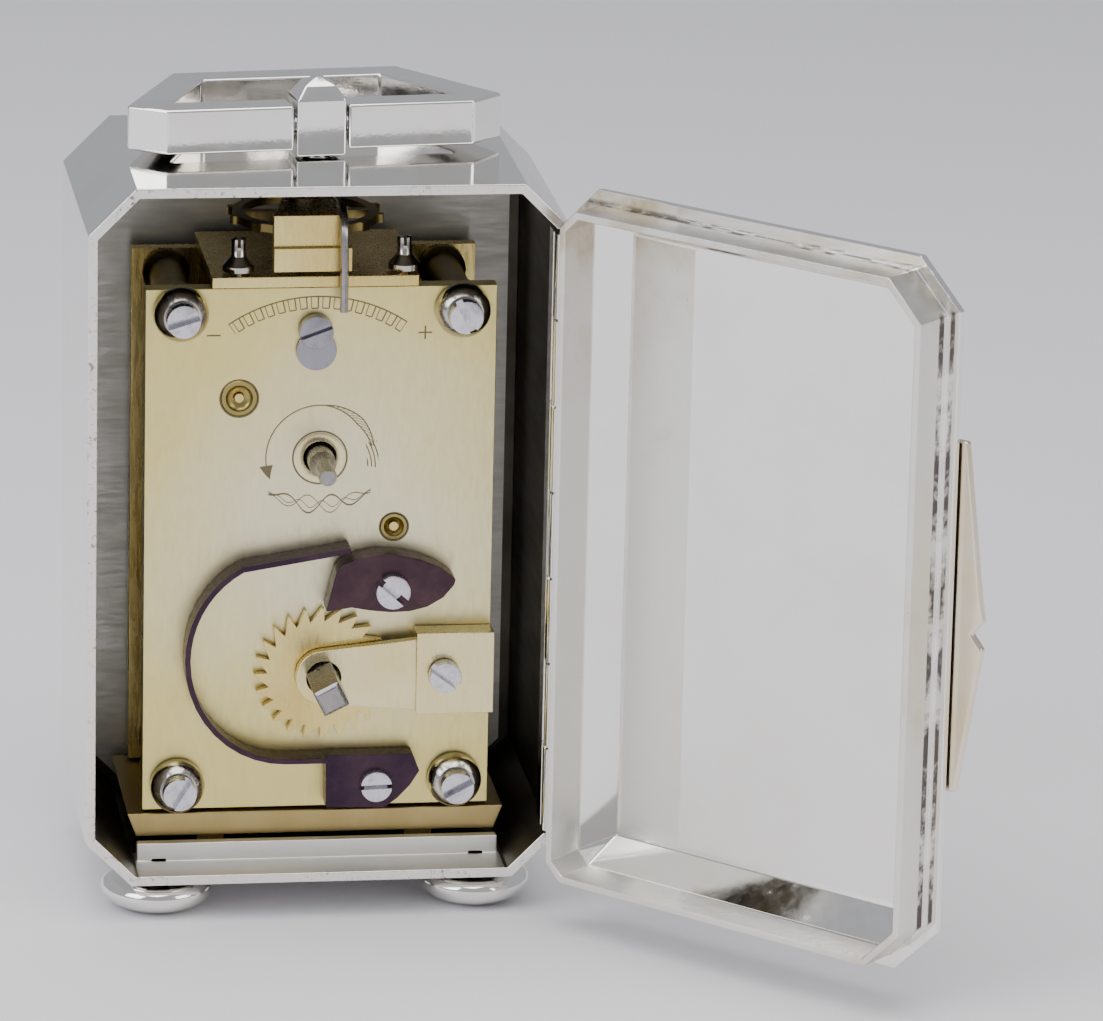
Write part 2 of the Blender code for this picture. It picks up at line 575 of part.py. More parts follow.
def build_pillars():
    start = PILLAR_BACK + GAP
    stop = FRONT_PLATE - GAP
    profile = [(2.6 * MM, start), (2.6 * MM, start + MM), (2.0 * MM, start + 1.6 * MM),
               (2.0 * MM, stop - 1.6 * MM),
               (2.6 * MM, stop - MM), (2.6 * MM, stop), (0.0, stop)]
    hole_end = start + 6.0 * MM
    bored = [(0.0, hole_end), (SCREW_SHANK + GAP, hole_end), (SCREW_SHANK + GAP, start)] + profile
    collet = [(SCREW_SHANK + GAP, REAR_PLANE), (3.0 * MM, REAR_PLANE), (3.0 * MM, REAR_PLANE - 0.8 * MM),
              (2.75 * MM, REAR_PLANE - 1.5 * MM), (2.15 * MM, REAR_PLANE - 2.1 * MM),
              (SCREW_SHANK + GAP, REAR_PLANE - 2.1 * MM)]
    head_plane = REAR_PLANE - 2.1 * MM - GAP
    for name, spot in PILLAR_SPOTS.items():
        place = plate_place(spot)
        shade_round(make_object("pillar_" + name, turned(bored, count=18), BRASS, place))
        shade_round(make_object("collet_" + name, turned(collet, ring=True, count=28), STEEL, place))
        build_screw("pillar_screw_" + name, place, head_plane, 1.85 * MM, 1.3 * MM, SCREW_SHANK,
                    start + 5.0 * MM - head_plane, SLOT_ANGLES[name])


def build_screw(name, place, head_plane, head_radius, head_height, shank, length, slot_angle, parent=None,
                look=STEEL):
    """A slotted cheese-head screw whose head stands towards the back of the clock."""
    top = head_plane - head_height
    profile = [(0, top), (head_radius - 0.15 * MM, top), (head_radius, top + 0.15 * MM),
               (head_radius, head_plane),
               (shank, head_plane), (shank, head_plane + length), (0, head_plane + length)]
    screw = shade_round(make_object(name, turned(profile, count=22), look, place, parent))
    slot_half = 0.17 * head_radius
    slot = block((-2 * head_radius, top - MM, -slot_half),
                 (2 * head_radius, top + 0.45 * head_height, slot_half))
    cutter = make_object(name + "_slot", slot, None, place, parent, (0, -math.radians(slot_angle), 0))
    return add_cutter(screw, cutter)


def lock_spot():
    return (CONTRATE_SPOT[0] - 0.12 * MM, CONTRATE_SPOT[1] + 2.25 * MM)


def build_lock():
    """Steel end plug behind the contrate wheel's pivot, and the screw that locks it."""
    plug = [(0, BACK_ROOM + 1.6 * MM), (0.9 * MM, BACK_ROOM + 1.6 * MM), (0.9 * MM, REAR_PLANE),
            (2.2 * MM, REAR_PLANE),
            (2.2 * MM, REAR_PLANE - 0.3 * MM), (0, REAR_PLANE - 0.3 * MM)]
    piece = shade_round(make_object("contrate_plug", turned(plug), STEEL, plate_place(CONTRATE_SPOT)))
    notch = turned([(0.9 * MM, REAR_PLANE - MM), (0.9 * MM, BACK_ROOM + BACK_PLATE_THICK)], count=16)
    add_cutter(piece, make_object("plug_notch", notch, None, plate_place(lock_spot())))
    build_screw("lock_screw", plate_place(lock_spot()), REAR_PLANE - 0.3 * MM - GAP, 1.85 * MM, 0.6 * MM,
                0.6 * MM,
                1.8 * MM, 25.0)


# ---- winding work on the back plate ----
RATCHET_BACK = REAR_PLANE - 0.9 * MM
BRIDGE_PLANE = RATCHET_BACK - GAP


def build_barrel():
    """Barrel, its arbor with the winding square, and the ratchet wheel."""
    pitch = barrel_pitch()
    start = PILLAR_BACK + 0.7 * MM
    teeth_at = GEAR_PLANE
    outline = gear_outline(54, pitch, 0.35 * MM, 0.55 * MM, angle_between(BARREL_SPOT, MIDDLE_SPOT))
    bore = circle(1.7 * MM, count=18)
    barrel = make_object("barrel", plate(outline, teeth_at, teeth_at + 1.2 * MM, holes=[bore]), BRASS,
                         plate_place(BARREL_SPOT))
    drum_radius = pitch - 1.4 * MM
    drum = turned([(1.7 * MM, start), (drum_radius, start), (drum_radius, teeth_at + MM),
                   (1.7 * MM, teeth_at + MM)],
                  count=36, ring=True)
    add_cutter(barrel, make_object("barrel_drum", drum, None, plate_place(BARREL_SPOT)), "UNION")
    square_start = BRIDGE_PLANE - 2.2 * MM
    profile = [(0, square_start), (1.6 * MM, square_start), (1.6 * MM, PILLAR_BACK + 0.4 * MM),
               (1.4 * MM, start),
               (1.4 * MM, teeth_at + 2.2 * MM), (ARBOR_RADIUS, teeth_at + 2.2 * MM),
               (ARBOR_RADIUS, FRONT_PLATE + FRONT_PLATE_THICK), (0, FRONT_PLATE + FRONT_PLATE_THICK)]
    arbor = shade_round(make_object("barrel_arbor", turned(profile), STEEL, plate_place(BARREL_SPOT)))
    half = WINDING_SQUARE / 2
    square_end = -2.5 * MM
    rings = [[(-s, square_end + rise, -s), (s, square_end + rise, -s), (s, square_end + rise, s),
              (-s, square_end + rise, s)] for s, rise in ((half - 0.4 * MM, 0.0), (half, 0.4 * MM))]
    rings.append([(x, square_start + 0.5 * MM, z) for x, _, z in rings[1]])
    square = make_object("winding_square", banded(rings), None, plate_place(BARREL_SPOT),
                         turn=(0, math.radians(-27.0), 0))
    add_cutter(arbor, square, "UNION")
    ratchet = plate(ratchet_outline(), RATCHET_BACK, REAR_PLANE, holes=[circle(1.6 * MM + GAP, count=24)])
    make_object("ratchet_wheel", ratchet, BRASS, plate_place(BARREL_SPOT))


def ratchet_outline():
    """Saw teeth whose steep faces look clockwise from behind; a tip stands under the click's beak."""
    step = math.tau / RATCHET_TEETH
    beak = math.radians(89.0)
    points = []
    for index in range(RATCHET_TEETH):
        tip = beak + index * step
        for radius, angle in ((RATCHET_ROOT, tip - 0.04 * step), (RATCHET_TIP, tip),
                              (RATCHET_TIP, tip + 0.1 * step)):
            points.append((radius * math.cos(angle), radius * math.sin(angle)))
    return points


# the click's outline round its screw, millimetres, from the beak along the lower side
CLICK_CORNERS = [
    (-6.79, -3.43), (-5.6, -3.1), (-4.1, -2.6), (-2.0, -2.65), (0.2, -2.55), (2.3, -2.15), (4.1, -1.4),
    (5.7, -0.1),
    (6.65, 1.5), (6.7, 2.1), (6.1, 2.6), (4.6, 3.3), (2.6, 3.8), (0.2, 4.0), (-2.2, 3.8), (-4.2, 3.1),
    (-5.8, 2.1),
    (-6.4, 1.2),
]


def build_click():
    """The click and its screw: a leaf whose beak rides on the ratchet's teeth."""
    outline = [(x * RISE, z * RISE) for x, z in CLICK_CORNERS]
    shaped = plate(outline, REAR_PLANE - CLICK_THICK, REAR_PLANE,
                   holes=[circle(SCREW_SHANK + RUNNING, count=20)])
    make_object("click", shaped, BLUED, plate_place(CLICK_SPOT), turn=(0, -CLICK_LIFT, 0))
    build_screw("click_screw", plate_place(CLICK_SPOT), REAR_PLANE - CLICK_THICK - GAP, 1.9 * MM, 0.8 * MM,
                SCREW_SHANK,
                CLICK_THICK + GAP + 0.1 * MM, -42.0)


def click_spring_line():
    """Middle line of the spring's ribbon: along the foot, round the left and up to the click's back."""
    low = (1.0 * RISE, BARREL_SPOT[1] - 9.4 * RISE)
    middle = (-3.6 * RISE, BARREL_SPOT[1] + 2.3 * RISE)
    radius_low = middle[1] - low[1]
    points = [low]
    for index in range(0, 11):
        angle = math.radians(-90.0 - 90.0 * index / 10)
        points.append((middle[0] + 10.9 * RISE * math.cos(angle), middle[1] + radius_low * math.sin(angle)))
    for index in range(1, 10):
        angle = math.radians(180.0 - 70.0 * index / 10)
        points.append((middle[0] + 10.9 * RISE * math.cos(angle), middle[1] + 11.6 * RISE * math.sin(angle)))
    points.append((3.2 * RISE, CLICK_SPOT[1] + 4.55 * RISE))
    return points


def build_click_spring():
    """A blued ribbon bent round the ratchet, in one piece with its screwed foot."""
    half = 0.3 * MM
    line = click_spring_line()
    left = []
    right = []
    for index, point in enumerate(line):
        before = Vector(line[max(index - 1, 0)])
        after = Vector(line[min(index + 1, len(line) - 1)])
        side = (after - before).normalized() * half
        left.append((point[0] - side.y, point[1] + side.x))
        right.append((point[0] + side.y, point[1] - side.x))
    spring_back = REAR_PLANE - 2.9 * MM
    spring = make_object("click_spring", plate(left + right[::-1], spring_back, REAR_PLANE), BLUED)
    corners = [(0.8, 6.6), (0.9, 0.6), (7.4, 0.45), (8.8, 1.5), (10.2, 3.0), (11.2, 4.6), (10.4, 6.6)]
    foot = plate([(x * MM, PLATE_FLOOR + z * RISE) for x, z in corners], REAR_PLANE - 2.2 * MM, REAR_PLANE,
                 holes=[circle(SCREW_SHANK + GAP, SPRING_SPOT, 20)])
    add_cutter(spring, make_object("spring_foot", foot, None), "UNION")
    build_screw("click_spring_screw", plate_place(SPRING_SPOT), REAR_PLANE - 2.2 * MM - GAP, 1.75 * MM,
                0.6 * MM,
                0.6 * MM, 2.2 * MM + GAP + 1.0 * MM, 3.0)


BRIDGE_BLOCK_THICK = 3.0 * MM


def build_bridge():
    """Brass block on the plate with a tongue that reaches over the ratchet to the arbor."""
    edge = PLATE_WIDTH / 2
    middle = BARREL_SPOT[1]
    body = block((10.6 * MM, REAR_PLANE - BRIDGE_BLOCK_THICK, middle - 4.2 * MM),
                 (edge, REAR_PLANE, middle + 5.0 * MM))
    bridge = make_object("arbor_bridge", body, BRASS)
    round_end = circle(3.05 * MM, BARREL_SPOT, 20, math.radians(96.0), math.radians(168.0))
    outline = round_end + [(11.2 * MM, middle - 3.9 * MM), (11.2 * MM, middle + 4.2 * MM)]
    tongue = plate(outline, BRIDGE_PLANE - 1.2 * MM, BRIDGE_PLANE,
                   holes=[circle(1.6 * MM + GAP, BARREL_SPOT, 24)])
    add_cutter(bridge, make_object("bridge_tongue", tongue, None), "UNION")
    hole = turned([(0.9 * MM, 0.0), (0.9 * MM, BACK_ROOM + MM)], count=16)
    add_cutter(bridge, make_object("bridge_hole", hole, None, plate_place(BRIDGE_SPOT)))
    build_screw("bridge_screw", plate_place(BRIDGE_SPOT), REAR_PLANE - BRIDGE_BLOCK_THICK - GAP, 1.75 * MM,
                1.4 * MM,
                0.6 * MM, BRIDGE_BLOCK_THICK + 2 * GAP + 1.0 * MM, -35.0)


# ---- going train ----
GEAR_PLANE = FRONT_PLATE - 4.4 * MM
FAST_PLANE = FRONT_PLATE - 2.3 * MM
CENTRE_PLANE = PILLAR_BACK + 5.8 * MM
THIRD_PLANE = PILLAR_BACK + 2.3 * MM
CROWN_PLANE = ESCAPE_DEEP - 0.6 * MM        # tips of the contrate teeth
WHEEL_THICK = 0.6 * MM
TIP = 0.28 * MM
ROOT = 0.42 * MM


def barrel_pitch():
    return distance_between(BARREL_SPOT, MIDDLE_SPOT) * 54 / 70


def opposite_tooth(spot, driver_spot, teeth):
    """Angle of a tooth of this gear when the driver's tooth fills its gap on the line of centres."""
    return angle_between(spot, driver_spot) + math.pi / teeth


def arbor_profile(start, stop, pivot):
    thin = ARBOR_RADIUS * 0.7
    return [(0, start), (thin, start), (thin, start + pivot), (ARBOR_RADIUS, start + pivot),
            (ARBOR_RADIUS, stop - pivot), (thin, stop - pivot), (thin, stop), (0, stop)]


def train_piece(name, spot, wheel, wheel_plane, pinion, pinion_plane, pinion_length, start, stop):
    """Wheel, pinion and arbor as one solid."""
    place = plate_place(spot)
    piece = make_object(name, turned(arbor_profile(start, stop, BACK_PLATE_THICK + GAP), count=20), BRASS,
                        place)
    leaves = plate(pinion, pinion_plane, pinion_plane + pinion_length)
    add_cutter(piece, make_object(name + "_leaves", leaves, None, place), "UNION")
    if wheel:
        disc = plate(wheel, wheel_plane, wheel_plane + WHEEL_THICK)
        add_cutter(piece, make_object(name + "_disc", disc, None, place), "UNION")
    return piece


def build_train():
    start = BACK_ROOM + 0.1 * MM
    stop = FRONT_PLATE + FRONT_PLATE_THICK - 0.1 * MM
    span_one = distance_between(MIDDLE_SPOT, CENTRE_SPOT)
    span_two = distance_between(CENTRE_SPOT, THIRD_SPOT)
    span_three = distance_between(THIRD_SPOT, CONTRATE_SPOT)
    middle_wheel = gear_outline(42, span_one * 42 / 54, TIP, ROOT, angle_between(MIDDLE_SPOT, CENTRE_SPOT))
    middle_pinion = gear_outline(16, barrel_pitch() * 16 / 54, 0.3 * MM, 0.5 * MM,
                                 opposite_tooth(MIDDLE_SPOT, BARREL_SPOT, 16))
    train_piece("middle_wheel", MIDDLE_SPOT, middle_wheel, FAST_PLANE, middle_pinion, GEAR_PLANE - 0.3 * MM,
                1.8 * MM, start, stop)
    centre_pinion = gear_outline(12, span_one * 12 / 54, TIP, ROOT,
                                 opposite_tooth(CENTRE_SPOT, MIDDLE_SPOT, 12))
    centre_wheel = gear_outline(48, span_two * 48 / 54, TIP, ROOT, angle_between(CENTRE_SPOT, THIRD_SPOT))
    place = plate_place(CENTRE_SPOT)
    bore = circle(1.25 * MM, count=16)
    wheel = make_object("centre_wheel",
                        plate(centre_wheel, CENTRE_PLANE, CENTRE_PLANE + WHEEL_THICK, holes=[bore]),
                        BRASS, place)
    pipe = turned([(1.25 * MM, CENTRE_PLANE - MM), (1.9 * MM, CENTRE_PLANE - MM),
                   (1.9 * MM, FAST_PLANE + MM),
                   (1.25 * MM, FAST_PLANE + MM)], count=16, ring=True)
    add_cutter(wheel, make_object("centre_pipe", pipe, None, place), "UNION")
    leaves = plate(centre_pinion, FAST_PLANE - GAP, FAST_PLANE + 1.2 * MM, holes=[bore])
    add_cutter(wheel, make_object("centre_leaves", leaves, None, place), "UNION")
    third_pinion = gear_outline(6, span_two * 6 / 54, TIP, ROOT, opposite_tooth(THIRD_SPOT, CENTRE_SPOT, 6),
                                0.46, 0.2)
    third_wheel = gear_outline(45, span_three * 45 / 51, TIP, ROOT,
                               angle_between(THIRD_SPOT, CONTRATE_SPOT))
    train_piece("third_wheel", THIRD_SPOT, third_wheel, THIRD_PLANE, third_pinion, CENTRE_PLANE - GAP,
                1.2 * MM,
                start, stop)
    build_contrate(start, stop, span_three)


CROWN_TEETH = 48


def build_contrate(start, stop, span):
    pinion = gear_outline(6, span * 6 / 51, TIP, ROOT, opposite_tooth(CONTRATE_SPOT, THIRD_SPOT, 6), 0.46,
                          0.2)
    piece = train_piece("contrate_wheel", CONTRATE_SPOT, None, None, pinion, THIRD_PLANE - GAP, 1.2 * MM,
                        PILLAR_BACK - 0.5 * MM, stop)
    place = plate_place(CONTRATE_SPOT)
    inner = CROWN_RADIUS - 0.35 * MM
    outer = CROWN_RADIUS + 0.35 * MM
    body = CROWN_PLANE - 0.55 * MM
    points = CROWN_TEETH * 2
    zigzag = []
    for index in range(points):
        zigzag.append(CROWN_PLANE if index % 2 == 0 else body)
    loops = []
    for radius, depths in ((outer, [body - MM] * points), (outer, zigzag), (inner, zigzag),
                           (inner, [body - 0.5 * MM] * points)):
        corners = circle(radius, count=points, start=math.pi / 2)
        loops.append([(x, deep, z) for (x, z), deep in zip(corners, depths)])
    return add_cutter(piece, make_object("crown", banded(loops), None, place), "UNION")


# ---- motion work and hands ----
MOTION_SPAN = 6.0 * RISE


def minute_wheel_spot():
    return (CENTRE_SPOT[0], CENTRE_SPOT[1] - MOTION_SPAN)


def hand_outline(length, width, ring):
    """A leaf-shaped hand pointing up, as a slim blade from its hub's ring."""
    hub = circle(ring, count=18, start=math.radians(112.0), sweep=math.radians(316.0))
    neck = 0.22 * width
    belly = 0.5 * width
    return hub + [(neck, 0.45 * length), (belly, 0.68 * length), (0.0, length), (-belly, 0.68 * length),
                  (-neck, 0.45 * length)]


def build_motion_work():
    place = plate_place(CENTRE_SPOT)
    plane = MOTION_WORK
    arbor = [(0, -0.3 * MM), (0.85 * MM, -0.3 * MM), (1.0 * MM, 0.2 * MM), (1.0 * MM, 4.2 * MM),
             (1.5 * MM, 5.2 * MM),
             (1.5 * MM, PILLAR_BACK + 0.2 * MM), (1.0 * MM, PILLAR_BACK + 0.2 * MM),
             (1.0 * MM, MINUTE_HAND + 2 * GAP),
             (0, MINUTE_HAND + 2 * GAP)]
    hands_arbor = make_object("hands_arbor", turned(arbor), STEEL, place)
    cannon = gear_outline(12, MOTION_SPAN * 12 / 48, 0.18 * MM, 0.26 * MM, -math.pi / 2)
    leaves = plate(cannon, plane, plane + 0.7 * MM)
    add_cutter(hands_arbor, make_object("cannon_leaves", leaves, None, place), "UNION")
    spot = minute_wheel_spot()
    low_place = plate_place(spot)
    wheel = gear_outline(36, MOTION_SPAN * 36 / 48, 0.18 * MM, 0.26 * MM,
                         opposite_tooth(spot, CENTRE_SPOT, 36))
    minute_wheel = make_object("minute_wheel", plate(wheel, plane + 0.1 * MM, plane + 0.6 * MM), BRASS,
                               low_place)
    small = gear_outline(10, MOTION_SPAN * 10 / 50, 0.18 * MM, 0.26 * MM, math.pi / 2)
    leaves = plate(small, plane + 0.5 * MM, plane + 1.7 * MM)
    add_cutter(minute_wheel, make_object("minute_leaves", leaves, None, low_place), "UNION")
    pivot = turned([(ARBOR_RADIUS * 0.7, FRONT_PLATE + 0.1 * MM), (ARBOR_RADIUS * 0.7, plane + 0.3 * MM)],
                   count=20)
    add_cutter(minute_wheel, make_object("minute_pivot", pivot, None, low_place), "UNION")
    hour = gear_outline(40, MOTION_SPAN * 40 / 50, 0.18 * MM, 0.26 * MM, -math.pi / 2 + math.pi / 40)
    bore = circle(1.3 * MM, count=16)
    hour_wheel = make_object("hour_wheel", plate(hour, plane + 1.0 * MM, plane + 1.5 * MM, holes=[bore]),
                             BRASS, place)
    pipe = turned([(1.3 * MM, plane + 1.2 * MM), (1.65 * MM, plane + 1.2 * MM),
                   (1.65 * MM, HOUR_HAND + HAND_THICK),
                   (1.3 * MM, HOUR_HAND + HAND_THICK)], count=16, ring=True)
    add_cutter(hour_wheel, make_object("hour_pipe", pipe, None, place), "UNION")
    look = ((0.05, 0.07, 0.2), 1.0, 0.25)
    hour_blade = plate(hand_outline(10.0 * MM, 1.9 * MM, 2.7 * MM), HOUR_HAND, HOUR_HAND + HAND_THICK,
                       holes=[circle(1.65 * MM + RUNNING, count=24)])
    make_object("hour_hand", hour_blade, look, place, turn=(0, math.radians(-305.0), 0))
    minute_blade = plate(hand_outline(15.0 * MM, 1.5 * MM, 2.0 * MM), MINUTE_HAND, MINUTE_HAND + HAND_THICK,
                         holes=[circle(1.0 * MM + RUNNING, count=24)])
    make_object("minute_hand", minute_blade, look, place, turn=(0, math.radians(-60.0), 0))


# ---- platform escapement ----
def build_platform():
    deep_low = BACK_ROOM - 1.0 * MM
    deep_high = FRONT_PLATE + MM
    outline = [(-12.0 * MM, deep_low), (10.4 * MM, deep_low), (10.4 * MM, deep_high),
               (-12.0 * MM, deep_high)]
    holes = [circle(0.8 * MM, (across, PLATFORM_SCREW_DEEP), 16) for across in PLATFORM_SCREWS.values()]
    holes.append(circle(1.2 * MM, (CONTRATE_SPOT[0], ESCAPE_DEEP), 20))
    holes.append(circle(0.35 * MM, LEVER_SPOT, 12))
    holes.append(circle(0.5 * MM, BALANCE_SPOT, 12))
    make_object("platform_plate", plate(outline, PLATFORM, PLATFORM_TOP, "up", holes), BRASS)
    top = PLATFORM_TOP + GAP
    profile = [(0, PLATE_TOP - 2.0 * MM), (0.55 * MM, PLATE_TOP - 2.0 * MM), (0.55 * MM, top),
               (1.75 * MM, top),
               (1.75 * MM, top + 0.6 * MM), (0.95 * MM, top + 1.5 * MM), (0.8 * MM, top + 1.7 * MM),
               (0.8 * MM, top + 3.5 * MM), (0, top + 3.5 * MM)]
    for name, across in PLATFORM_SCREWS.items():
        place = (across, PLATFORM_SCREW_DEEP, 0.0)
        screw = shade_round(make_object(name, turned(profile, "up"), STEEL, place))
        slot = block((-0.18 * MM, -2 * MM, top + 2.6 * MM), (0.18 * MM, 2 * MM, top + 5 * MM))
        add_cutter(screw, make_object(name + "_slot", slot, None, place))


COCK_LOW = PLATFORM_TOP + GAP
COCK_TOP = BALANCE_HEIGHT + 1.7 * MM
COCK_THICK = 1.1 * MM


def build_cock():
    """Balance cock: a foot block, an upright and an arm over the balance staff."""
    back = BACK_ROOM - 0.4 * MM
    foot = block((-5.3 * MM, back, COCK_LOW), (3.2 * MM, back + 1.2 * MM, COCK_LOW + 2.7 * MM))
    cock = make_object("balance_cock", foot, BRASS)
    upright = block((-5.3 * MM, back + 0.6 * MM, COCK_LOW),
                    (2.2 * MM, back + 2.0 * MM, COCK_TOP + COCK_THICK))
    add_cutter(cock, make_object("cock_upright", upright, None), "UNION")
    across, deep = BALANCE_SPOT
    outline = [(-5.3 * MM, back + 0.6 * MM), (2.2 * MM, back + 0.6 * MM), (across + 2.4 * MM, deep),
               (across + 1.5 * MM, deep + 2.0 * MM), (across - 1.5 * MM, deep + 2.0 * MM),
               (across - 2.4 * MM, deep)]
    arm = plate(outline, COCK_TOP, COCK_TOP + COCK_THICK, "up", [circle(0.35 * MM, BALANCE_SPOT, 12)])
    add_cutter(cock, make_object("cock_arm", arm, None), "UNION")


def build_balance():
    place = (*BALANCE_SPOT, 0.0)
    rim_in = BALANCE_RADIUS - 1.1 * MM
    outline = []
    for index in range(12):
        middle = math.tau * (index + 0.5) / 12
        for radius, shift in ((BALANCE_RADIUS, -0.24), (BALANCE_RADIUS, -0.06),
                              (BALANCE_RADIUS + 0.6 * MM, -0.055),
                              (BALANCE_RADIUS + 0.6 * MM, 0.055), (BALANCE_RADIUS, 0.06)):
            outline.append((radius * math.cos(middle + shift), radius * math.sin(middle + shift)))
    half_arm = 0.6 * MM
    lean = math.asin(half_arm / rim_in)
    holes = []
    for side in (0.0, math.pi):
        holes.append(circle(rim_in, count=16, start=side + lean, sweep=math.pi - 2 * lean))
    wheel = make_object("balance_wheel",
                        plate(outline, BALANCE_HEIGHT, BALANCE_HEIGHT + 0.9 * MM, "up", holes),
                        BRASS, place)
    low = PLATFORM_TOP - 0.8 * MM
    staff = turned([(0, low), (0.25 * MM, low), (0.25 * MM, PLATFORM_TOP + 0.2 * MM),
                    (0.5 * MM, PLATFORM_TOP + 0.3 * MM),
                    (0.5 * MM, COCK_TOP - 0.4 * MM), (0.2 * MM, COCK_TOP - GAP), (0.2 * MM, COCK_TOP + MM),
                    (0, COCK_TOP + MM)], "up", 16)
    add_cutter(wheel, make_object("balance_staff", staff, None, place), "UNION")
    roller = turned([(1.0 * MM, PLATFORM_TOP + 1.5 * MM), (1.0 * MM, PLATFORM_TOP + 2.0 * MM)], "up", 20)
    add_cutter(wheel, make_object("balance_roller", roller, None, place), "UNION")


def build_regulator():
    """Index on the cock's arm: a ring round the staff's axis and a rod bent down over the back plate."""
    across, deep = BALANCE_SPOT
    low = COCK_TOP + COCK_THICK + GAP
    ring = plate(circle(1.9 * MM, count=28), low, low + 0.5 * MM, "up", [circle(0.9 * MM, count=20)])
    index = make_object("regulator_index", ring, STEEL, (across, deep, 0.0))
    rod_across = 2.9 * MM
    tip = (rod_across, BACK_ROOM - 2.6 * MM - deep, PLATE_TOP - 2.1 * MM)
    points = [(1.2 * MM, -0.9 * MM, low + 0.4 * MM), (2.0 * MM, -4.0 * MM, low + 0.6 * MM),
              (rod_across, BACK_ROOM + 0.5 * MM - deep, low + 0.6 * MM),
              (rod_across, BACK_ROOM - 1.5 * MM - deep, low - 0.8 * MM),
              (rod_across, BACK_ROOM - 2.3 * MM - deep, low - 4.0 * MM), tip]
    curve = bpy.data.curves.new("rod", "CURVE")
    curve.dimensions = "3D"
    curve.bevel_depth = 0.45 * MM
    curve.bevel_resolution = 2
    curve.use_fill_caps = True
    curve.resolution_u = 6
    path = curve.splines.new("BEZIER")
    path.bezier_points.add(len(points) - 1)
    for knot, point in zip(path.bezier_points, points):
        knot.co = point
        knot.handle_left_type = "AUTO"
        knot.handle_right_type = "AUTO"
    rod = bpy.data.objects.new("rod_curve", curve)
    bpy.context.collection.objects.link(rod)
    depsgraph = bpy.context.evaluated_depsgraph_get()
    swept = bmesh.new()
    swept.from_mesh(rod.evaluated_get(depsgraph).to_mesh())
    bmesh.ops.remove_doubles(swept, verts=swept.verts, dist=1e-7)
    bpy.data.objects.remove(rod, do_unlink=True)
    add_cutter(index, make_object("rod_shape", swept, None, (across, deep, 0.0)), "UNION")


def build_escapement():
    place = (CONTRATE_SPOT[0], ESCAPE_DEEP, 0.0)
    pinion_tip = ESCAPE_DEEP - CROWN_PLANE + 0.15 * MM
    outline = gear_outline(6, 0.62 * MM, pinion_tip - 0.62 * MM, 0.2 * MM, -math.pi / 2 + math.pi / 6, 0.4,
                           0.2)
    low = PLATE_TOP - 3.0 * MM
    piece = make_object("escape_wheel", plate(outline, low, PLATE_TOP - 0.5 * MM, "up"), STEEL, place)
    wheel_low = PLATFORM_TOP + 1.4 * MM
    arbor = turned([(0.3 * MM, low - 0.5 * MM), (0.3 * MM, wheel_low + 1.2 * MM)], "up", 12)
    add_cutter(piece, make_object("escape_arbor", arbor, None, place), "UNION")
    points = []
    step = math.tau / 15
    for index in range(15):
        tip = index * step + math.pi / 2
        for radius, angle in ((1.5 * MM, tip - 0.5 * step), (2.3 * MM, tip), (2.3 * MM, tip + 0.08 * step),
                              (1.5 * MM, tip + 0.2 * step)):
            points.append((radius * math.cos(angle), radius * math.sin(angle)))
    add_cutter(piece,
               make_object("escape_teeth", plate(points, wheel_low, wheel_low + 0.4 * MM, "up"), None,
                           place),
               "UNION")
    bar = [(-0.3, -1.5), (0.3, -1.5), (0.35, -0.4), (2.3, 0.5), (2.3, 0.85), (1.9, 0.85), (0.0, 0.2),
           (-1.9, 0.85),
           (-2.3, 0.85), (-2.3, 0.5), (-0.35, -0.4)]
    lever = make_object("pallet_lever",
                        plate([(x * MM, y * MM) for x, y in bar], wheel_low, wheel_low + 0.45 * MM,
                                              "up"), STEEL, (*LEVER_SPOT, 0.0))
    pivot = turned([(0.2 * MM, PLATFORM_TOP - 0.7 * MM), (0.2 * MM, wheel_low + MM)], "up", 12)
    add_cutter(lever, make_object("lever_staff", pivot, None, (*LEVER_SPOT, 0.0)), "UNION")


# ---- assembly ----
def settle():
    """Turn the clock so that its dial faces -Y, and stand the middle of its footprint on the origin."""
    CLOCK.rotation_euler = (0, 0, math.pi)
    bpy.context.view_layer.update()
    depsgraph = bpy.context.evaluated_depsgraph_get()
    low = Vector((1e9, 1e9, 1e9))
    high = -low
    for item in bpy.data.objects:
        if item.type != "MESH" or item.hide_render:
            continue
        shaped = item.evaluated_get(depsgraph)
        for vertex in shaped.data.vertices:
            point = item.matrix_world @ vertex.co
            low = Vector(map(min, low, point))
            high = Vector(map(max, high, point))
    CLOCK.location = (-(low.x + high.x) / 2, -(low.y + high.y) / 2, -low.z)
    bpy.context.view_layer.update()


build_case()
build_feet()
build_front()
build_handle()
build_door()
build_seat()
build_plates()
build_pillars()
build_lock()
build_barrel()
build_click()
build_click_spring()
build_bridge()
build_train()
build_motion_work()
build_platform()
build_cock()
build_balance()
build_regulator()
build_escapement()
settle()
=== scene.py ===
import math

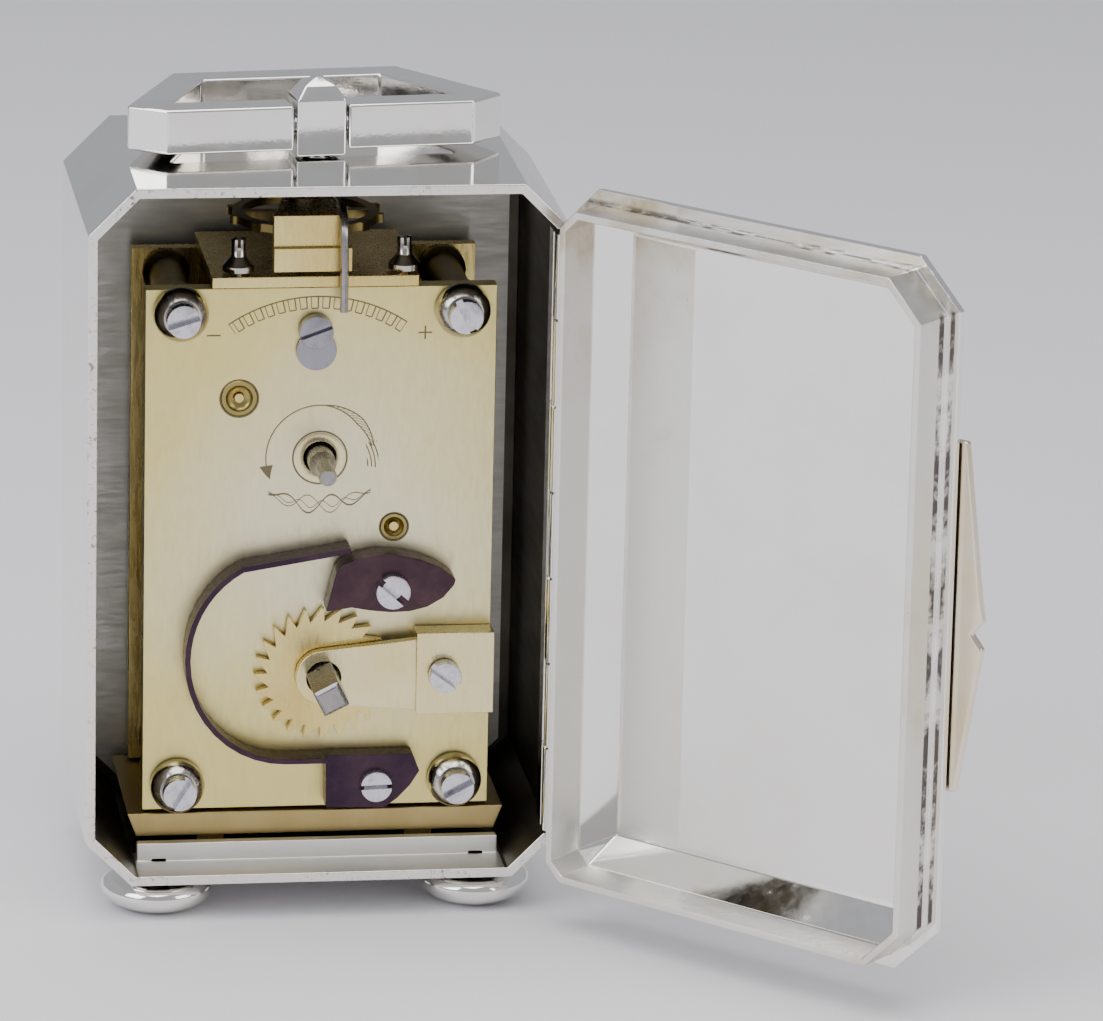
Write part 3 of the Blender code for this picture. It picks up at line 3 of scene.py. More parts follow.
import bpy
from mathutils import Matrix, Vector
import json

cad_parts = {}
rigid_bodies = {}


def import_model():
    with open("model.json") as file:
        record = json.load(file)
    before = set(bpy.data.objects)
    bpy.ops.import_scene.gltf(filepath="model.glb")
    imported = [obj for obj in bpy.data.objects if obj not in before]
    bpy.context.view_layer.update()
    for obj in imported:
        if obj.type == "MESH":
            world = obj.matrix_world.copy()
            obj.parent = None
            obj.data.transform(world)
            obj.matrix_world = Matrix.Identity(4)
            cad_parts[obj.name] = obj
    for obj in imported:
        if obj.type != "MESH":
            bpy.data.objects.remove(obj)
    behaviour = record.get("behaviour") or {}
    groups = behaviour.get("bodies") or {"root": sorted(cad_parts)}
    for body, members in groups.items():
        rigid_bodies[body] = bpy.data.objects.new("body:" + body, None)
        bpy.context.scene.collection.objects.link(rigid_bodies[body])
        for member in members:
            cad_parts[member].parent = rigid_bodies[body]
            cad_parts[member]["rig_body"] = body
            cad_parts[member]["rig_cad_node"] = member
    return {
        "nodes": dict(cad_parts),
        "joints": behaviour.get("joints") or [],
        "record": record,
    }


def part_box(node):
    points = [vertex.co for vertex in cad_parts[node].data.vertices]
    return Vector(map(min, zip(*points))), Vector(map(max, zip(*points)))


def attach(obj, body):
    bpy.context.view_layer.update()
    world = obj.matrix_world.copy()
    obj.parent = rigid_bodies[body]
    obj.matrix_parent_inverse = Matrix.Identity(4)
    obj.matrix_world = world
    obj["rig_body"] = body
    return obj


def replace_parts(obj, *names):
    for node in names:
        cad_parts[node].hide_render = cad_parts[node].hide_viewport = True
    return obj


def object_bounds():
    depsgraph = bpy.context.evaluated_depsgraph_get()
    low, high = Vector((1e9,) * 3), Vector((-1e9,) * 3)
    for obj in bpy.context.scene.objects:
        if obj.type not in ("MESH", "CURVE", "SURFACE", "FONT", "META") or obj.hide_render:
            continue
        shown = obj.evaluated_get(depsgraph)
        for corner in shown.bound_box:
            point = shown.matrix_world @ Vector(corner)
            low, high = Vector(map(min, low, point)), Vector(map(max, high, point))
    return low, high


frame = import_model()
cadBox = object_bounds()
mm = 0.001
quarter = math.pi / 2

jointAt = {joint["name"]: Vector(joint["pos_m"]) for joint in frame["joints"]}
bodyOf = {node: body for body, nodes in frame["record"]["behaviour"]["bodies"].items() for node in nodes}
caseLow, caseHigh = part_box("case_body")
plateLow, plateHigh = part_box("back_plate")
dialLow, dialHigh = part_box("dial")
caseMiddle = (caseLow + caseHigh) / 2
plateMiddle = (plateLow + plateHigh) / 2
handsAt = jointAt["hands_turn"]
print("frame loaded:", len(frame["nodes"]), "nodes")


# ---- shader writing: sockets that can be added, multiplied and compared ----
class Wire:
    def __init__(self, finish, socket):
        self.finish = finish
        self.socket = socket

    def __add__(self, other):
        return self.finish.maths("ADD", self, other)

    def __radd__(self, other):
        return self.finish.maths("ADD", other, self)

    def __sub__(self, other):
        return self.finish.maths("SUBTRACT", self, other)

    def __rsub__(self, other):
        return self.finish.maths("SUBTRACT", other, self)

    def __mul__(self, other):
        return self.finish.maths("MULTIPLY", self, other)

    def __rmul__(self, other):
        return self.finish.maths("MULTIPLY", other, self)

    def __truediv__(self, other):
        return self.finish.maths("DIVIDE", self, other)

    def __lt__(self, other):
        return self.finish.maths("LESS_THAN", self, other)

    def __gt__(self, other):
        return self.finish.maths("GREATER_THAN", self, other)

    def __abs__(self):
        return self.finish.maths("ABSOLUTE", self)


class Finish:
    def __init__(self, name):
        self.material = bpy.data.materials.new(name)
        self.material.use_nodes = True
        self.tree = self.material.node_tree
        self.shader = self.tree.nodes["Principled BSDF"]
        self.place = self.node("TexCoord", output="Object")
        self.x = self.node("SeparateXYZ", inputs={0: self.place}, output="X")
        self.y = self.node("SeparateXYZ", inputs={0: self.place}, output="Y")
        self.z = self.node("SeparateXYZ", inputs={0: self.place}, output="Z")

    def feed(self, socket, value):
        if isinstance(value, Wire):
            self.tree.links.new(value.socket, socket)
        elif isinstance(value, (tuple, list)) and socket.type == "RGBA":
            socket.default_value = (*value[:3], 1.0)
        else:
            socket.default_value = value

    def node(self, kind, settings=None, inputs=None, output=0):
        made = self.tree.nodes.new("ShaderNode" + kind)
        for key, value in (settings or {}).items():
            setattr(made, key, value)
        for key, value in (inputs or {}).items():
            self.feed(made.inputs[key], value)
        return Wire(self, made.outputs[output])

    def maths(self, operation, first, second=None):
        inputs = {0: first} if second is None else {0: first, 1: second}
        return self.node("Math", {"operation": operation}, inputs)

    def noise(self, scale, detail=3.0, roughness=0.5, stretch=None):
        where = self.place
        if stretch:
            where = self.node("Mapping", {}, {"Vector": self.place, "Scale": stretch})
        inputs = {"Vector": where, "Scale": scale, "Detail": detail, "Roughness": roughness}
        return self.node("TexNoise", {}, inputs, "Fac")

    def between(self, value, low, high, start=0.0, end=1.0):
        inputs = {"Value": value, "From Min": low, "From Max": high, "To Min": start, "To Max": end}
        return self.node("MapRange", {"clamp": True}, inputs)

    def blend(self, share, first, second):
        return self.node("Mix", {"data_type": "RGBA"}, {0: share, 6: first, 7: second}, 2)

    def most(self, first, second):
        return self.maths("MAXIMUM", first, second)

    def radius(self, across, high):
        side = self.x - across
        rise = self.z - high
        return self.maths("SQRT", side * side + rise * rise)

    def bearing(self, across, high):
        return self.maths("ARCTAN2", self.z - high, across - self.x)    # anticlockwise seen from behind

    def bump(self, height, strength, distance):
        inputs = {"Height": height, "Strength": strength, "Distance": distance}
        self.use({"Normal": self.node("Bump", {}, inputs)})

    def use(self, sockets):
        for name, value in sockets.items():
            self.feed(self.shader.inputs[name], value)
        return self


# ---- metals ----
silverLook = {"clean": (0.90, 0.885, 0.86), "warm": (0.80, 0.75, 0.66), "rough": 0.07, "roughSpread": 0.06}


def silverFinish(name):
    finish = Finish(name)
    cloud = finish.noise(90.0, 4.0)
    smear = finish.noise(600.0, 2.0, stretch=(1.0, 1.0, 0.15))
    warmth = finish.between(cloud, 0.45, 0.75, 0.0, 0.45)
    colour = finish.blend(warmth, silverLook["clean"], silverLook["warm"])
    rough = silverLook["rough"]
    sheen = finish.between(smear, 0.35, 0.7, rough, rough + silverLook["roughSpread"])
    finish.use({"Base Color": colour, "Metallic": 1.0, "Roughness": sheen})
    finish.bump(finish.noise(2500.0, 2.0), 0.03, 0.0002)
    return finish


# inside and insideWarm are painted shade: the walls inside the case are painted far darker than their silver,
# and roofShade adds more painted shade towards the top and the right wall; the ledge keeps a light silver
# colour
caseLook = {
    "inside": (0.30, 0.28, 0.235), "insideWarm": (0.15, 0.125, 0.09), "insideRough": 0.36,
    "ledge": (0.80, 0.785, 0.74), "roofShade": (0.05, 0.042, 0.033),
    "rim": (0.83, 0.81, 0.76), "tarnish": (0.17, 0.13, 0.10),
    "skin": 0.55 * mm, "cornerCut": 5.1 * mm, "rimDeep": 0.08 * mm, "frontSkin": 0.05 * mm,
    "roofShadeStart": 20 * mm, "roofShadeEnd": 4 * mm, "roofShadeMost": 0.75,
    "wallShadeStart": 6 * mm, "wallShadeEnd": 18 * mm, "wallShadeMost": 0.6,
    "ledgeDrop": 2.65 * mm, "ledgeIn": 5.9 * mm,
}


def caseFinish():
    finish = Finish("caseSilver")
    skin = caseLook["skin"]
    halfWidth = (caseHigh.x - caseLow.x) / 2
    halfHeight = (caseHigh.z - caseLow.z) / 2
    side = abs(finish.x - caseMiddle.x)
    rise = abs(finish.z - caseMiddle.z)
    inside = (side < halfWidth - skin) * (rise < halfHeight - skin)
    inside = inside * (side + rise < halfWidth + halfHeight - caseLook["cornerCut"] - 1.41 * skin)
    inside = inside * (finish.y > caseLow.y + skin) * (finish.y < caseHigh.y - caseLook["frontSkin"])
    rim = finish.y > caseHigh.y - caseLook["rimDeep"]
    cloud = finish.noise(110.0, 5.0)
    speck = finish.noise(1500.0, 4.0, 0.7)
    spots = finish.between(speck, 0.56, 0.66) * finish.between(finish.noise(160.0, 2.0), 0.42, 0.6)
    outer = finish.blend(finish.between(cloud, 0.45, 0.75, 0.0, 0.4), silverLook["clean"], silverLook["warm"])
    # painted shade: the inside of the case is dark, with a darker, warmer tone mixed in by noise
    inner = finish.blend(finish.between(cloud, 0.35, 0.65), caseLook["inside"], caseLook["insideWarm"])
    # more painted shade towards the top of the inside and towards the right wall
    upper = finish.between(finish.z, caseHigh.z - caseLook["roofShadeStart"],
                           caseHigh.z - caseLook["roofShadeEnd"], 0.0, caseLook["roofShadeMost"])
    rightWallShade = finish.between(caseMiddle.x - finish.x, caseLook["wallShadeStart"], caseLook["wallShadeEnd"],
                               0.0, caseLook["wallShadeMost"])
    inner = finish.blend(finish.most(upper, rightWallShade), inner, caseLook["roofShade"])
    low = finish.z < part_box("movement_seat")[1].z - caseLook["ledgeDrop"]
    ledge = low * (finish.y > plateHigh.y) * (side < halfWidth - caseLook["ledgeIn"]) * inside
    inner = finish.blend(ledge, inner, caseLook["ledge"])
    edge = finish.blend(spots * 0.8, caseLook["rim"], caseLook["tarnish"])
    colour = finish.blend(inside, outer, inner)
    finish.use({"Base Color": finish.blend(rim, colour, edge), "Metallic": 1.0})
    smear = finish.between(finish.noise(700.0, 2.0, stretch=(1.0, 0.15, 1.0)), 0.3, 0.7, 0.0, 0.07)
    rough = inside * (caseLook["insideRough"] - 0.07) + rim * 0.15 + spots * rim * 0.3 + smear + 0.06
    finish.use({"Roughness": rough})
    finish.bump(speck * (inside + rim) * 0.5 + finish.noise(400.0, 2.0) * 0.2, 0.08, 0.0002)
    return finish


doorLook = {
    "width": 51.05 * mm, "hingeGap": 1.3 * mm, "slopeStart": 2.6 * mm, "slopeEnd": 5.5 * mm,
    "low": 0.3 * mm, "high": 3.8 * mm, "skin": 0.25 * mm, "corner": 1.5 * mm, "cornerWide": 0.55 * mm,
    "satin": (0.80, 0.785, 0.74), "stain": (0.52, 0.42, 0.25), "dark": (0.07, 0.055, 0.05), "rough": 0.30,
}


def doorFinish():
    # the panel's inner face is satin, with stains near its edges, and the outside is polished
    finish = Finish("doorSilver")
    hinge = jointAt["door_hinge"]
    shellLow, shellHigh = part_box("door_shell")
    free = Vector((shellLow.x - hinge.x, shellHigh.y - hinge.y)).normalized()
    turn = math.atan2(free.y, free.x)
    alongX, alongY = math.cos(turn), math.sin(turn)
    # along runs from the hinge to the free edge, out to the outside of the closed door
    along = (finish.x - hinge.x) * alongX + (finish.y - hinge.y) * alongY
    out = (finish.y - hinge.y) * alongX - (finish.x - hinge.x) * alongY
    width = doorLook["width"]
    high = finish.z - caseLow.z
    tall = caseHigh.z - caseLow.z
    inset = finish.maths("MINIMUM", finish.maths("MINIMUM", along - doorLook["hingeGap"], width - along),
                         finish.maths("MINIMUM", high, tall - high))
    sloped = finish.between(inset, doorLook["slopeStart"], doorLook["slopeEnd"],
                            doorLook["low"], doorLook["high"])
    inner = out < sloped + doorLook["skin"]
    patch = finish.noise(120.0, 5.0, 0.6)
    fine = finish.noise(900.0, 4.0, 0.6)
    hingeTop = finish.between(along, 4 * mm, 17 * mm, 1.0, 0.0)
    hingeTop = hingeTop * finish.between(high, tall - 24 * mm, tall - 3 * mm)
    topBand = finish.between(high, tall - 9 * mm, tall - 4 * mm) * 0.5
    freeSide = finish.between(along, width - 13 * mm, width - 6 * mm)
    freeSide = freeSide * finish.between(high, 0.0, 12 * mm, 1.0, 0.3) * 0.5
    stained = (hingeTop + topBand + freeSide) * finish.between(patch, 0.38, 0.7)
    stained = finish.maths("MINIMUM", stained + finish.between(patch, 0.58, 0.8) * 0.25, 1.0)
    satin = finish.blend(stained, doorLook["satin"], doorLook["stain"])
    # a dark broken line in the corner between collar and border, on the top and along the free edge
    corner = finish.between(abs(inset - doorLook["corner"]), 0.0, doorLook["cornerWide"], 1.0, 0.0)
    corner = corner * (out > -0.35 * mm)
    upper = finish.most(finish.between(high, tall - 4 * mm, tall - 2.5 * mm),
                        finish.between(along, width - 4 * mm, width - 2.5 * mm))
    line = corner * upper * finish.between(finish.noise(260.0, 4.0, 0.7), 0.40, 0.55)
    spots = finish.between(fine, 0.68, 0.74) * finish.between(patch, 0.5, 0.62) * 0.8
    cornerLineAndSpots = finish.maths("MINIMUM", line * 0.92 + spots, 1.0)
    outer = finish.blend(finish.between(patch, 0.45, 0.75, 0.0, 0.4), silverLook["clean"], silverLook["warm"])
    colour = finish.blend(inner, outer, finish.blend(cornerLineAndSpots, satin, doorLook["dark"]))
    rough = inner * (doorLook["rough"] - 0.07) + cornerLineAndSpots * 0.3 + finish.between(fine, 0.3, 0.7, 0.05, 0.11)
    finish.use({"Base Color": colour, "Metallic": 1.0, "Roughness": rough})
    finish.bump(finish.noise(1400.0, 3.0) * inner + finish.noise(60.0, 2.0) * 0.6, 0.10, 0.0003)
    return finish


def brassFinish(name, pale, deep, rough=0.28, grain=0.06):
    finish = Finish(name)
    cloud = finish.noise(80.0, 4.0)
    brushed = finish.noise(2600.0, 3.0, stretch=(1.0, 1.0, 0.12))
    colour = finish.blend(finish.between(cloud, 0.35, 0.7), pale, deep)
    finish.use({"Base Color": colour, "Metallic": 1.0})
    finish.use({"Roughness": finish.between(brushed, 0.3, 0.7, rough - 0.04, rough + 0.07)})
    finish.bump(brushed, grain, 0.0002)
    return finish


plateLook = {
    "pale": (0.84, 0.78, 0.52), "yellow": (0.80, 0.68, 0.27), "rough": 0.33, "line": (0.10, 0.075, 0.04),
    "scaleRadius": 17.2 * mm, "scaleBand": 1.3 * mm, "scaleIn": 0.4 * mm, "arrowRadius": 5.9 * mm,
    "scaleReach": 0.6, "scaleSteps": 16, "scaleTopGap": 1.0 * mm, "fine": 0.07 * mm, "arrowSwell": 0.42 * mm,
    "flourishDrop": 5.3 * mm, "flourishHalf": 5.6 * mm, "signDrop": 5.2 * mm, "signHalf": 0.75 * mm,
    "signLine": 0.09 * mm, "minusAcross": 11.7 * mm, "plusAcross": -11.3 * mm, "deep": 0.15 * mm,
}


def engraving(finish):
    # regulator scale, the turning arrow round the hands arbor and a plain flourish under it
    fine = plateLook["fine"]
    arcHigh = plateHigh.z - plateLook["scaleTopGap"] - plateLook["scaleRadius"]
    radius = finish.radius(handsAt.x + plateLook["scaleIn"], arcHigh)
    bearing = finish.bearing(handsAt.x + plateLook["scaleIn"], arcHigh)
    top = plateLook["scaleRadius"]
    band = plateLook["scaleBand"]
    fromTop = bearing - quarter
    reach = plateLook["scaleReach"]
    inArc = abs(fromTop) < reach
    step = 2 * reach / plateLook["scaleSteps"]
    phase = finish.maths("FRACT", (fromTop + reach) / step)
    inner = (abs(radius - (top - band)) < fine) * (phase < 0.6)
    lines = finish.most(abs(radius - top) < 0.08 * mm, inner) * inArc
    ticks = finish.most(abs(phase - 0.5) > 0.44, abs(phase - 0.6) < 0.04)
    ticks = ticks * (radius < top) * (radius > top - band) * inArc
    marks = finish.most(lines, ticks)
    turn = finish.radius(handsAt.x, handsAt.z)
    way = finish.bearing(handsAt.x, handsAt.z)
    ring = plateLook["arrowRadius"]
    swell = finish.between(abs(way - 0.75), 0.0, 0.75, plateLook["arrowSwell"], 0.0)
    shell = abs(abs(turn - ring) - swell) < fine
    hatch = (finish.maths("FRACT", (way * 3.0 + turn * 900.0) * 4.0) < 0.35) * (abs(turn - ring) < swell)
    arrow = finish.most(shell, hatch * 0.8) * (way > 0.2)
    arrow = finish.most(arrow, (abs(turn - ring) < fine) * (way < -2.75))
    headWay = finish.between(way, -3.0, -2.72, 0.75 * mm, 0.0)
    head = (abs(turn - ring) < headWay) * (way < -2.7) * (way > -3.0)
    feathers = (finish.maths("FRACT", (turn + way * (1.3 * mm)) / (0.42 * mm)) < 0.34)
    feathers = feathers * (abs(turn - ring + 0.1 * mm) < 0.62 * mm) * (way > -0.2) * (way < 0.3)
    marks = finish.most(marks, finish.most(arrow, finish.most(head, feathers)))
    side = handsAt.x - finish.x
    half = plateLook["flourishHalf"]
    drop = finish.z - (handsAt.z - plateLook["flourishDrop"])
    fadeOut = finish.between(abs(side), 2.0 * mm, half, 1.0, 0.25)
    waves = ((0.0, 1.0, 1.25, 0.10), (math.pi, 1.0, 1.25, 0.06), (0.9, 0.4, 2.5, 0.05))
    for shift, size, pace, width in waves:
        wave = finish.maths("SINE", side * (pace / mm) + shift)
        sag = side * side * 45.0
        near = abs(drop - sag - wave * fadeOut * (size * mm)) < width * mm
        marks = finish.most(marks, near * (abs(side) < half))
    for spot, ringAt in ((handsAt, 2.95), (jointAt["third_turn"], 2.08), (jointAt["middle_turn"], 1.58)):
        away = finish.radius(spot.x, spot.z)
        marks = finish.most(marks, abs(away - ringAt * mm) < 0.1 * mm)
    # a minus on one side of the scale and a plus on the other
    for across in (plateLook["minusAcross"], plateLook["plusAcross"]):
        away = abs(finish.x - (plateMiddle.x + across))
        rise = abs(finish.z - (plateHigh.z - plateLook["signDrop"]))
        marks = finish.most(marks, (away < plateLook["signHalf"]) * (rise < plateLook["signLine"]))
        if across == plateLook["plusAcross"]:
            marks = finish.most(marks, (away < plateLook["signLine"]) * (rise < plateLook["signHalf"]))
    return marks * (finish.y > plateHigh.y - plateLook["deep"])


def plateFinish():
    finish = Finish("giltPlate")
    middle = finish.radius(plateMiddle.x - 3 * mm, plateMiddle.z + 2 * mm)
    cloud = finish.noise(70.0, 4.0)
    fade = finish.between(middle + (cloud - 0.5) * (22 * mm), 7 * mm, 27 * mm)
    colour = finish.blend(fade, plateLook["pale"], plateLook["yellow"])
    freckle = finish.between(finish.noise(700.0, 5.0, 0.7), 0.66, 0.74, 0.0, 0.35)
    colour = finish.blend(freckle, colour, (0.42, 0.33, 0.15))
    marks = engraving(finish)
    finish.use({"Base Color": finish.blend(marks * 0.85, colour, plateLook["line"]), "Metallic": 1.0})
    grain = finish.noise(3000.0, 3.0, stretch=(1.0, 1.0, 0.25))
    rough = plateLook["rough"]
    finish.use({"Roughness": finish.between(grain, 0.3, 0.7, rough - 0.04, rough + 0.08) + marks * 0.2})
    finish.bump(grain * 0.35 - marks, 0.12, 0.0002)
    return finish


def steelFinish(name, colour, rough=0.22, dark=(0.20, 0.19, 0.19)):
    finish = Finish(name)
    cloud = finish.noise(900.0, 4.0, 0.6)
    shade = finish.blend(finish.between(cloud, 0.5, 0.78, 0.0, 0.6), colour, dark)
    finish.use({"Base Color": shade, "Metallic": 1.0})
    lines = finish.noise(5000.0, 2.0, stretch=(1.0, 1.0, 0.1))
    finish.use({"Roughness": finish.between(lines, 0.3, 0.7, rough - 0.05, rough + 0.08)})
    finish.bump(lines, 0.05, 0.0001)
    return finish


def bluedFinish(name, colour, edge):
    finish = Finish(name)
    cloud = finish.noise(240.0, 4.0, 0.6)
    finish.use({"Base Color": finish.blend(finish.between(cloud, 0.35, 0.7), colour, edge), "Metallic": 1.0})
    finish.use({"Roughness": finish.between(finish.noise(1800.0, 3.0), 0.3, 0.7, 0.28, 0.42)})
    finish.bump(finish.noise(2200.0, 3.0), 0.08, 0.0002)
    return finish


def dialFinish():
    finish = Finish("dialSilvered")
    radius = finish.radius(handsAt.x, handsAt.z)
    bearing = finish.bearing(handsAt.x, handsAt.z)
    grain = finish.noise(2200.0, 3.0, stretch=(0.15, 1.0, 1.0))
    track = finish.most(abs(radius - 15.6 * mm) < 0.06 * mm, abs(radius - 14.6 * mm) < 0.06 * mm)
    minute = finish.maths("FRACT", bearing * (60 / math.tau) + 0.5)
    ticks = (abs(minute - 0.5) < 0.05) * (radius > 14.6 * mm) * (radius < 15.6 * mm)
    hour = finish.maths("FRACT", bearing * (12 / math.tau) + 0.5)
    wide = (abs(hour - 0.5) < 0.022) * (radius > 14.6 * mm) * (radius < 15.6 * mm)
    marks = finish.most(track, finish.most(ticks, wide)) * (finish.y < dialMiddleY())
    pale = finish.blend(finish.between(grain, 0.35, 0.65), (0.78, 0.76, 0.70), (0.70, 0.68, 0.61))
    printed = finish.blend(marks, pale, (0.02, 0.02, 0.025))
    finish.use({"Base Color": printed, "Metallic": (1.0 - marks) * 0.75})
    finish.use({"Roughness": finish.between(grain, 0.3, 0.7, 0.36, 0.48)})
    finish.bump(grain, 0.05, 0.0001)
    return finish


def dialMiddleY():
    return (dialLow.y + dialHigh.y) / 2


def glassFinish():
    finish = Finish("windowGlass")
    haze = finish.noise(60.0, 3.0)
    finish.use({"Base Color": (0.95, 0.98, 0.97), "Metallic": 0.0, "IOR": 1.5, "Transmission Weight": 1.0})
    finish.use({"Roughness": finish.between(haze, 0.3, 0.7, 0.0, 0.03)})
    return finish


silver = silverFinish("polishedSilver")
caseSilver = caseFinish()
doorSilver = doorFinish()
goldEdge = brassFinish("thumbGold", (0.86, 0.80, 0.68), (0.82, 0.70, 0.48), 0.16, 0.02)
giltPlate = plateFinish()
giltBrass = brassFinish("giltBrass", (0.80, 0.66, 0.28), (0.68, 0.51, 0.17), 0.26)
paleBrass = brassFinish("paleBrass", (0.84, 0.76, 0.46), (0.78, 0.64, 0.28), 0.24)
seatBrass = brassFinish("seatBrass", (0.52, 0.41, 0.19), (0.42, 0.31, 0.12), 0.34, 0.12)
headSteel = steelFinish("screwSteel", (0.66, 0.65, 0.70), 0.24)
nickel = steelFinish("darkNickel", (0.50, 0.47, 0.42), 0.16)
arborSteel = steelFinish("arborSteel", (0.33, 0.31, 0.31), 0.24)
plugSteel = steelFinish("plugSteel", (0.34, 0.33, 0.37), 0.34)
# painted shade: near-black steel for the inside of screw slots, where shade falls
slotShade = steelFinish("slotShade", (0.018, 0.016, 0.015), 0.6)
cupBrass = brassFinish("cupBrass", (0.42, 0.34, 0.13), (0.30, 0.24, 0.08), 0.3)
shadeBrass = brassFinish("shadeBrass", (0.36, 0.28, 0.10), (0.20, 0.15, 0.06), 0.35)
bluedBrown = bluedFinish("bluedBrown", (0.052, 0.030, 0.040), (0.085, 0.050, 0.058))
bluedPurple = bluedFinish("bluedPurple", (0.040, 0.024, 0.042), (0.070, 0.042, 0.058))
handBlue = bluedFinish("handBlue", (0.03, 0.05, 0.20), (0.05, 0.08, 0.28))
dialSilver = dialFinish()
glass = glassFinish()
print("finishes made")


# ---- modelling helpers ----
def clearSelection():
    if bpy.context.object and bpy.context.object.mode != "OBJECT":
        bpy.ops.object.mode_set(mode="OBJECT")
    bpy.ops.object.select_all(action="DESELECT")


def editOnly(piece):
    clearSelection()
    bpy.context.view_layer.objects.active = piece
    piece.select_set(True)
    bpy.ops.object.mode_set(mode="EDIT")
    bpy.ops.mesh.select_all(action="SELECT")


def bakePlace(piece):
    clearSelection()
    bpy.context.view_layer.objects.active = piece
    piece.select_set(True)
    bpy.ops.object.transform_apply(location=True, rotation=True, scale=True)


def give(piece, finish, body):
    piece.data.materials.clear()
    piece.data.materials.append(finish.material)
    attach(piece, body)
    return piece


def softenEdges(piece, width, segments=2, angle=25.0):
    clearSelection()
    bpy.context.view_layer.objects.active = piece
    piece.select_set(True)
    edge = piece.modifiers.new("edge", "BEVEL")
    edge.width = width
    edge.segments = segments
    edge.limit_method = "ANGLE"
    edge.angle_limit = math.radians(angle)
    edge.use_clamp_overlap = False
    edge.harden_normals = False
    bpy.ops.object.modifier_apply(modifier="edge")


def roundShade(piece, angle=40.0):
    clearSelection()
    bpy.context.view_layer.objects.active = piece
    piece.select_set(True)
    bpy.ops.object.shade_smooth_by_angle(angle=math.radians(angle))
    even = piece.modifiers.new("even", "WEIGHTED_NORMAL")
    even.keep_sharp = True
    even.weight = 60
    bpy.ops.object.modifier_apply(modifier="even")


def dress(node, finish, width=0.0, angle=25.0, segments=2):
    # a finished copy of a CAD node: merged, edges softened, shaded round
    source = frame["nodes"][node]
    piece = source.copy()
    piece.data = source.data.copy()
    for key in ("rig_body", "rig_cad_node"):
        del piece[key]
    piece.name = node + "_finished"
    piece.parent = None
    bpy.context.scene.collection.objects.link(piece)
    editOnly(piece)
    bpy.ops.mesh.remove_doubles(threshold=1e-6)
    bpy.ops.mesh.dissolve_limited(angle_limit=math.radians(0.4))
    bpy.ops.object.mode_set(mode="OBJECT")
    if width:
        softenEdges(piece, width, segments, angle)
    roundShade(piece)
    give(piece, finish, bodyOf[node])
    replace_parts(piece, node)
    return piece


def turnedPiece(name, rings, place, facing="up", sides=64):
    # circles extruded from one another; a first ring repeated at the end closes a bored piece
    clearSelection()
    bored = rings[0] == rings[-1]
    bpy.ops.mesh.primitive_circle_add(vertices=sides, radius=rings[0][0], location=(0, 0, rings[0][1]),
                                      fill_type="NOTHING" if bored else "NGON")
    piece = bpy.context.object
    piece.name = name
    bakePlace(piece)
    editOnly(piece)
    for (radius, along), (nextRadius, nextAlong) in zip(rings, rings[1:]):
        bpy.ops.mesh.extrude_region_move(TRANSFORM_OT_translate={"value": (0, 0, nextAlong - along)})
        grow = nextRadius / radius
        bpy.ops.transform.resize(value=(grow, grow, 1), center_override=(0, 0, nextAlong))
    bpy.ops.mesh.select_all(action="SELECT")
    bpy.ops.mesh.remove_doubles(threshold=1e-7)
    bpy.ops.mesh.normals_make_consistent(inside=False)
    bpy.ops.object.mode_set(mode="OBJECT")
    if facing == "back":
        piece.rotation_euler = (-quarter, 0, 0)
    piece.location = place
    bakePlace(piece)
    roundShade(piece)
    return piece


def cutWith(piece, tools):
    for tool in tools:
        clearSelection()
        bpy.context.view_layer.objects.active = piece
        piece.select_set(True)
        step = piece.modifiers.new("cut", "BOOLEAN")
        step.operation = "DIFFERENCE"
        step.solver = "EXACT"
        step.object = tool
        bpy.ops.object.modifier_apply(modifier="cut")
        bpy.data.objects.remove(tool, do_unlink=True)


def slottedScrew(node, angle, finish, crown=0.12 * mm, slotShare=0.21, depthShare=0.75):
    # a turned head with a broken edge and a wide slot, its faces given a near-black painted shade; the angle
    # is anticlockwise seen from behind
    low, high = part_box(node)
    middle = (low + high) / 2
    radius = (high.x - low.x) / 2
    headTall = min(0.8 * radius, (high.y - low.y) * 0.45)
    top = high.y
    under = top - headTall
    rings = [(0.5 * radius, under - 0.6 * mm), (0.5 * radius, under), (radius, under), (radius, top - crown),
             (radius - 0.35 * crown, top - 0.3 * crown), (radius - crown, top)]
    screw = turnedPiece(node + "_turned", rings, (middle.x, 0, middle.z), "back", 56)
    screw.data.materials.append(finish.material)
    clearSelection()
    deep = depthShare * headTall
    bpy.ops.mesh.primitive_cube_add(size=1.0, location=(middle.x, top, middle.z),
                                    rotation=(0, math.radians(angle), 0),
                                    scale=(3 * radius, 2 * deep, slotShare * radius * 2))
    tool = bpy.context.object
    bakePlace(tool)
    # the cutter carries the near-black painted shade onto the slot faces
    tool.data.materials.append(slotShade.material)
    cutWith(screw, [tool])
    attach(screw, bodyOf[node])
    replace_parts(screw, node)
    clearSelection()
    bpy.context.view_layer.objects.active = screw
    screw.select_set(True)
    bpy.ops.object.shade_smooth_by_angle(angle=math.radians(28.0))
    return screw


def roundTool(spot, radius, low, high):
    clearSelection()
    bpy.ops.mesh.primitive_cylinder_add(vertices=64, radius=radius, depth=high - low,
                                        rotation=(quarter, 0, 0), location=(spot.x, (low + high) / 2, spot.z))
    tool = bpy.context.object
    bakePlace(tool)
    return tool


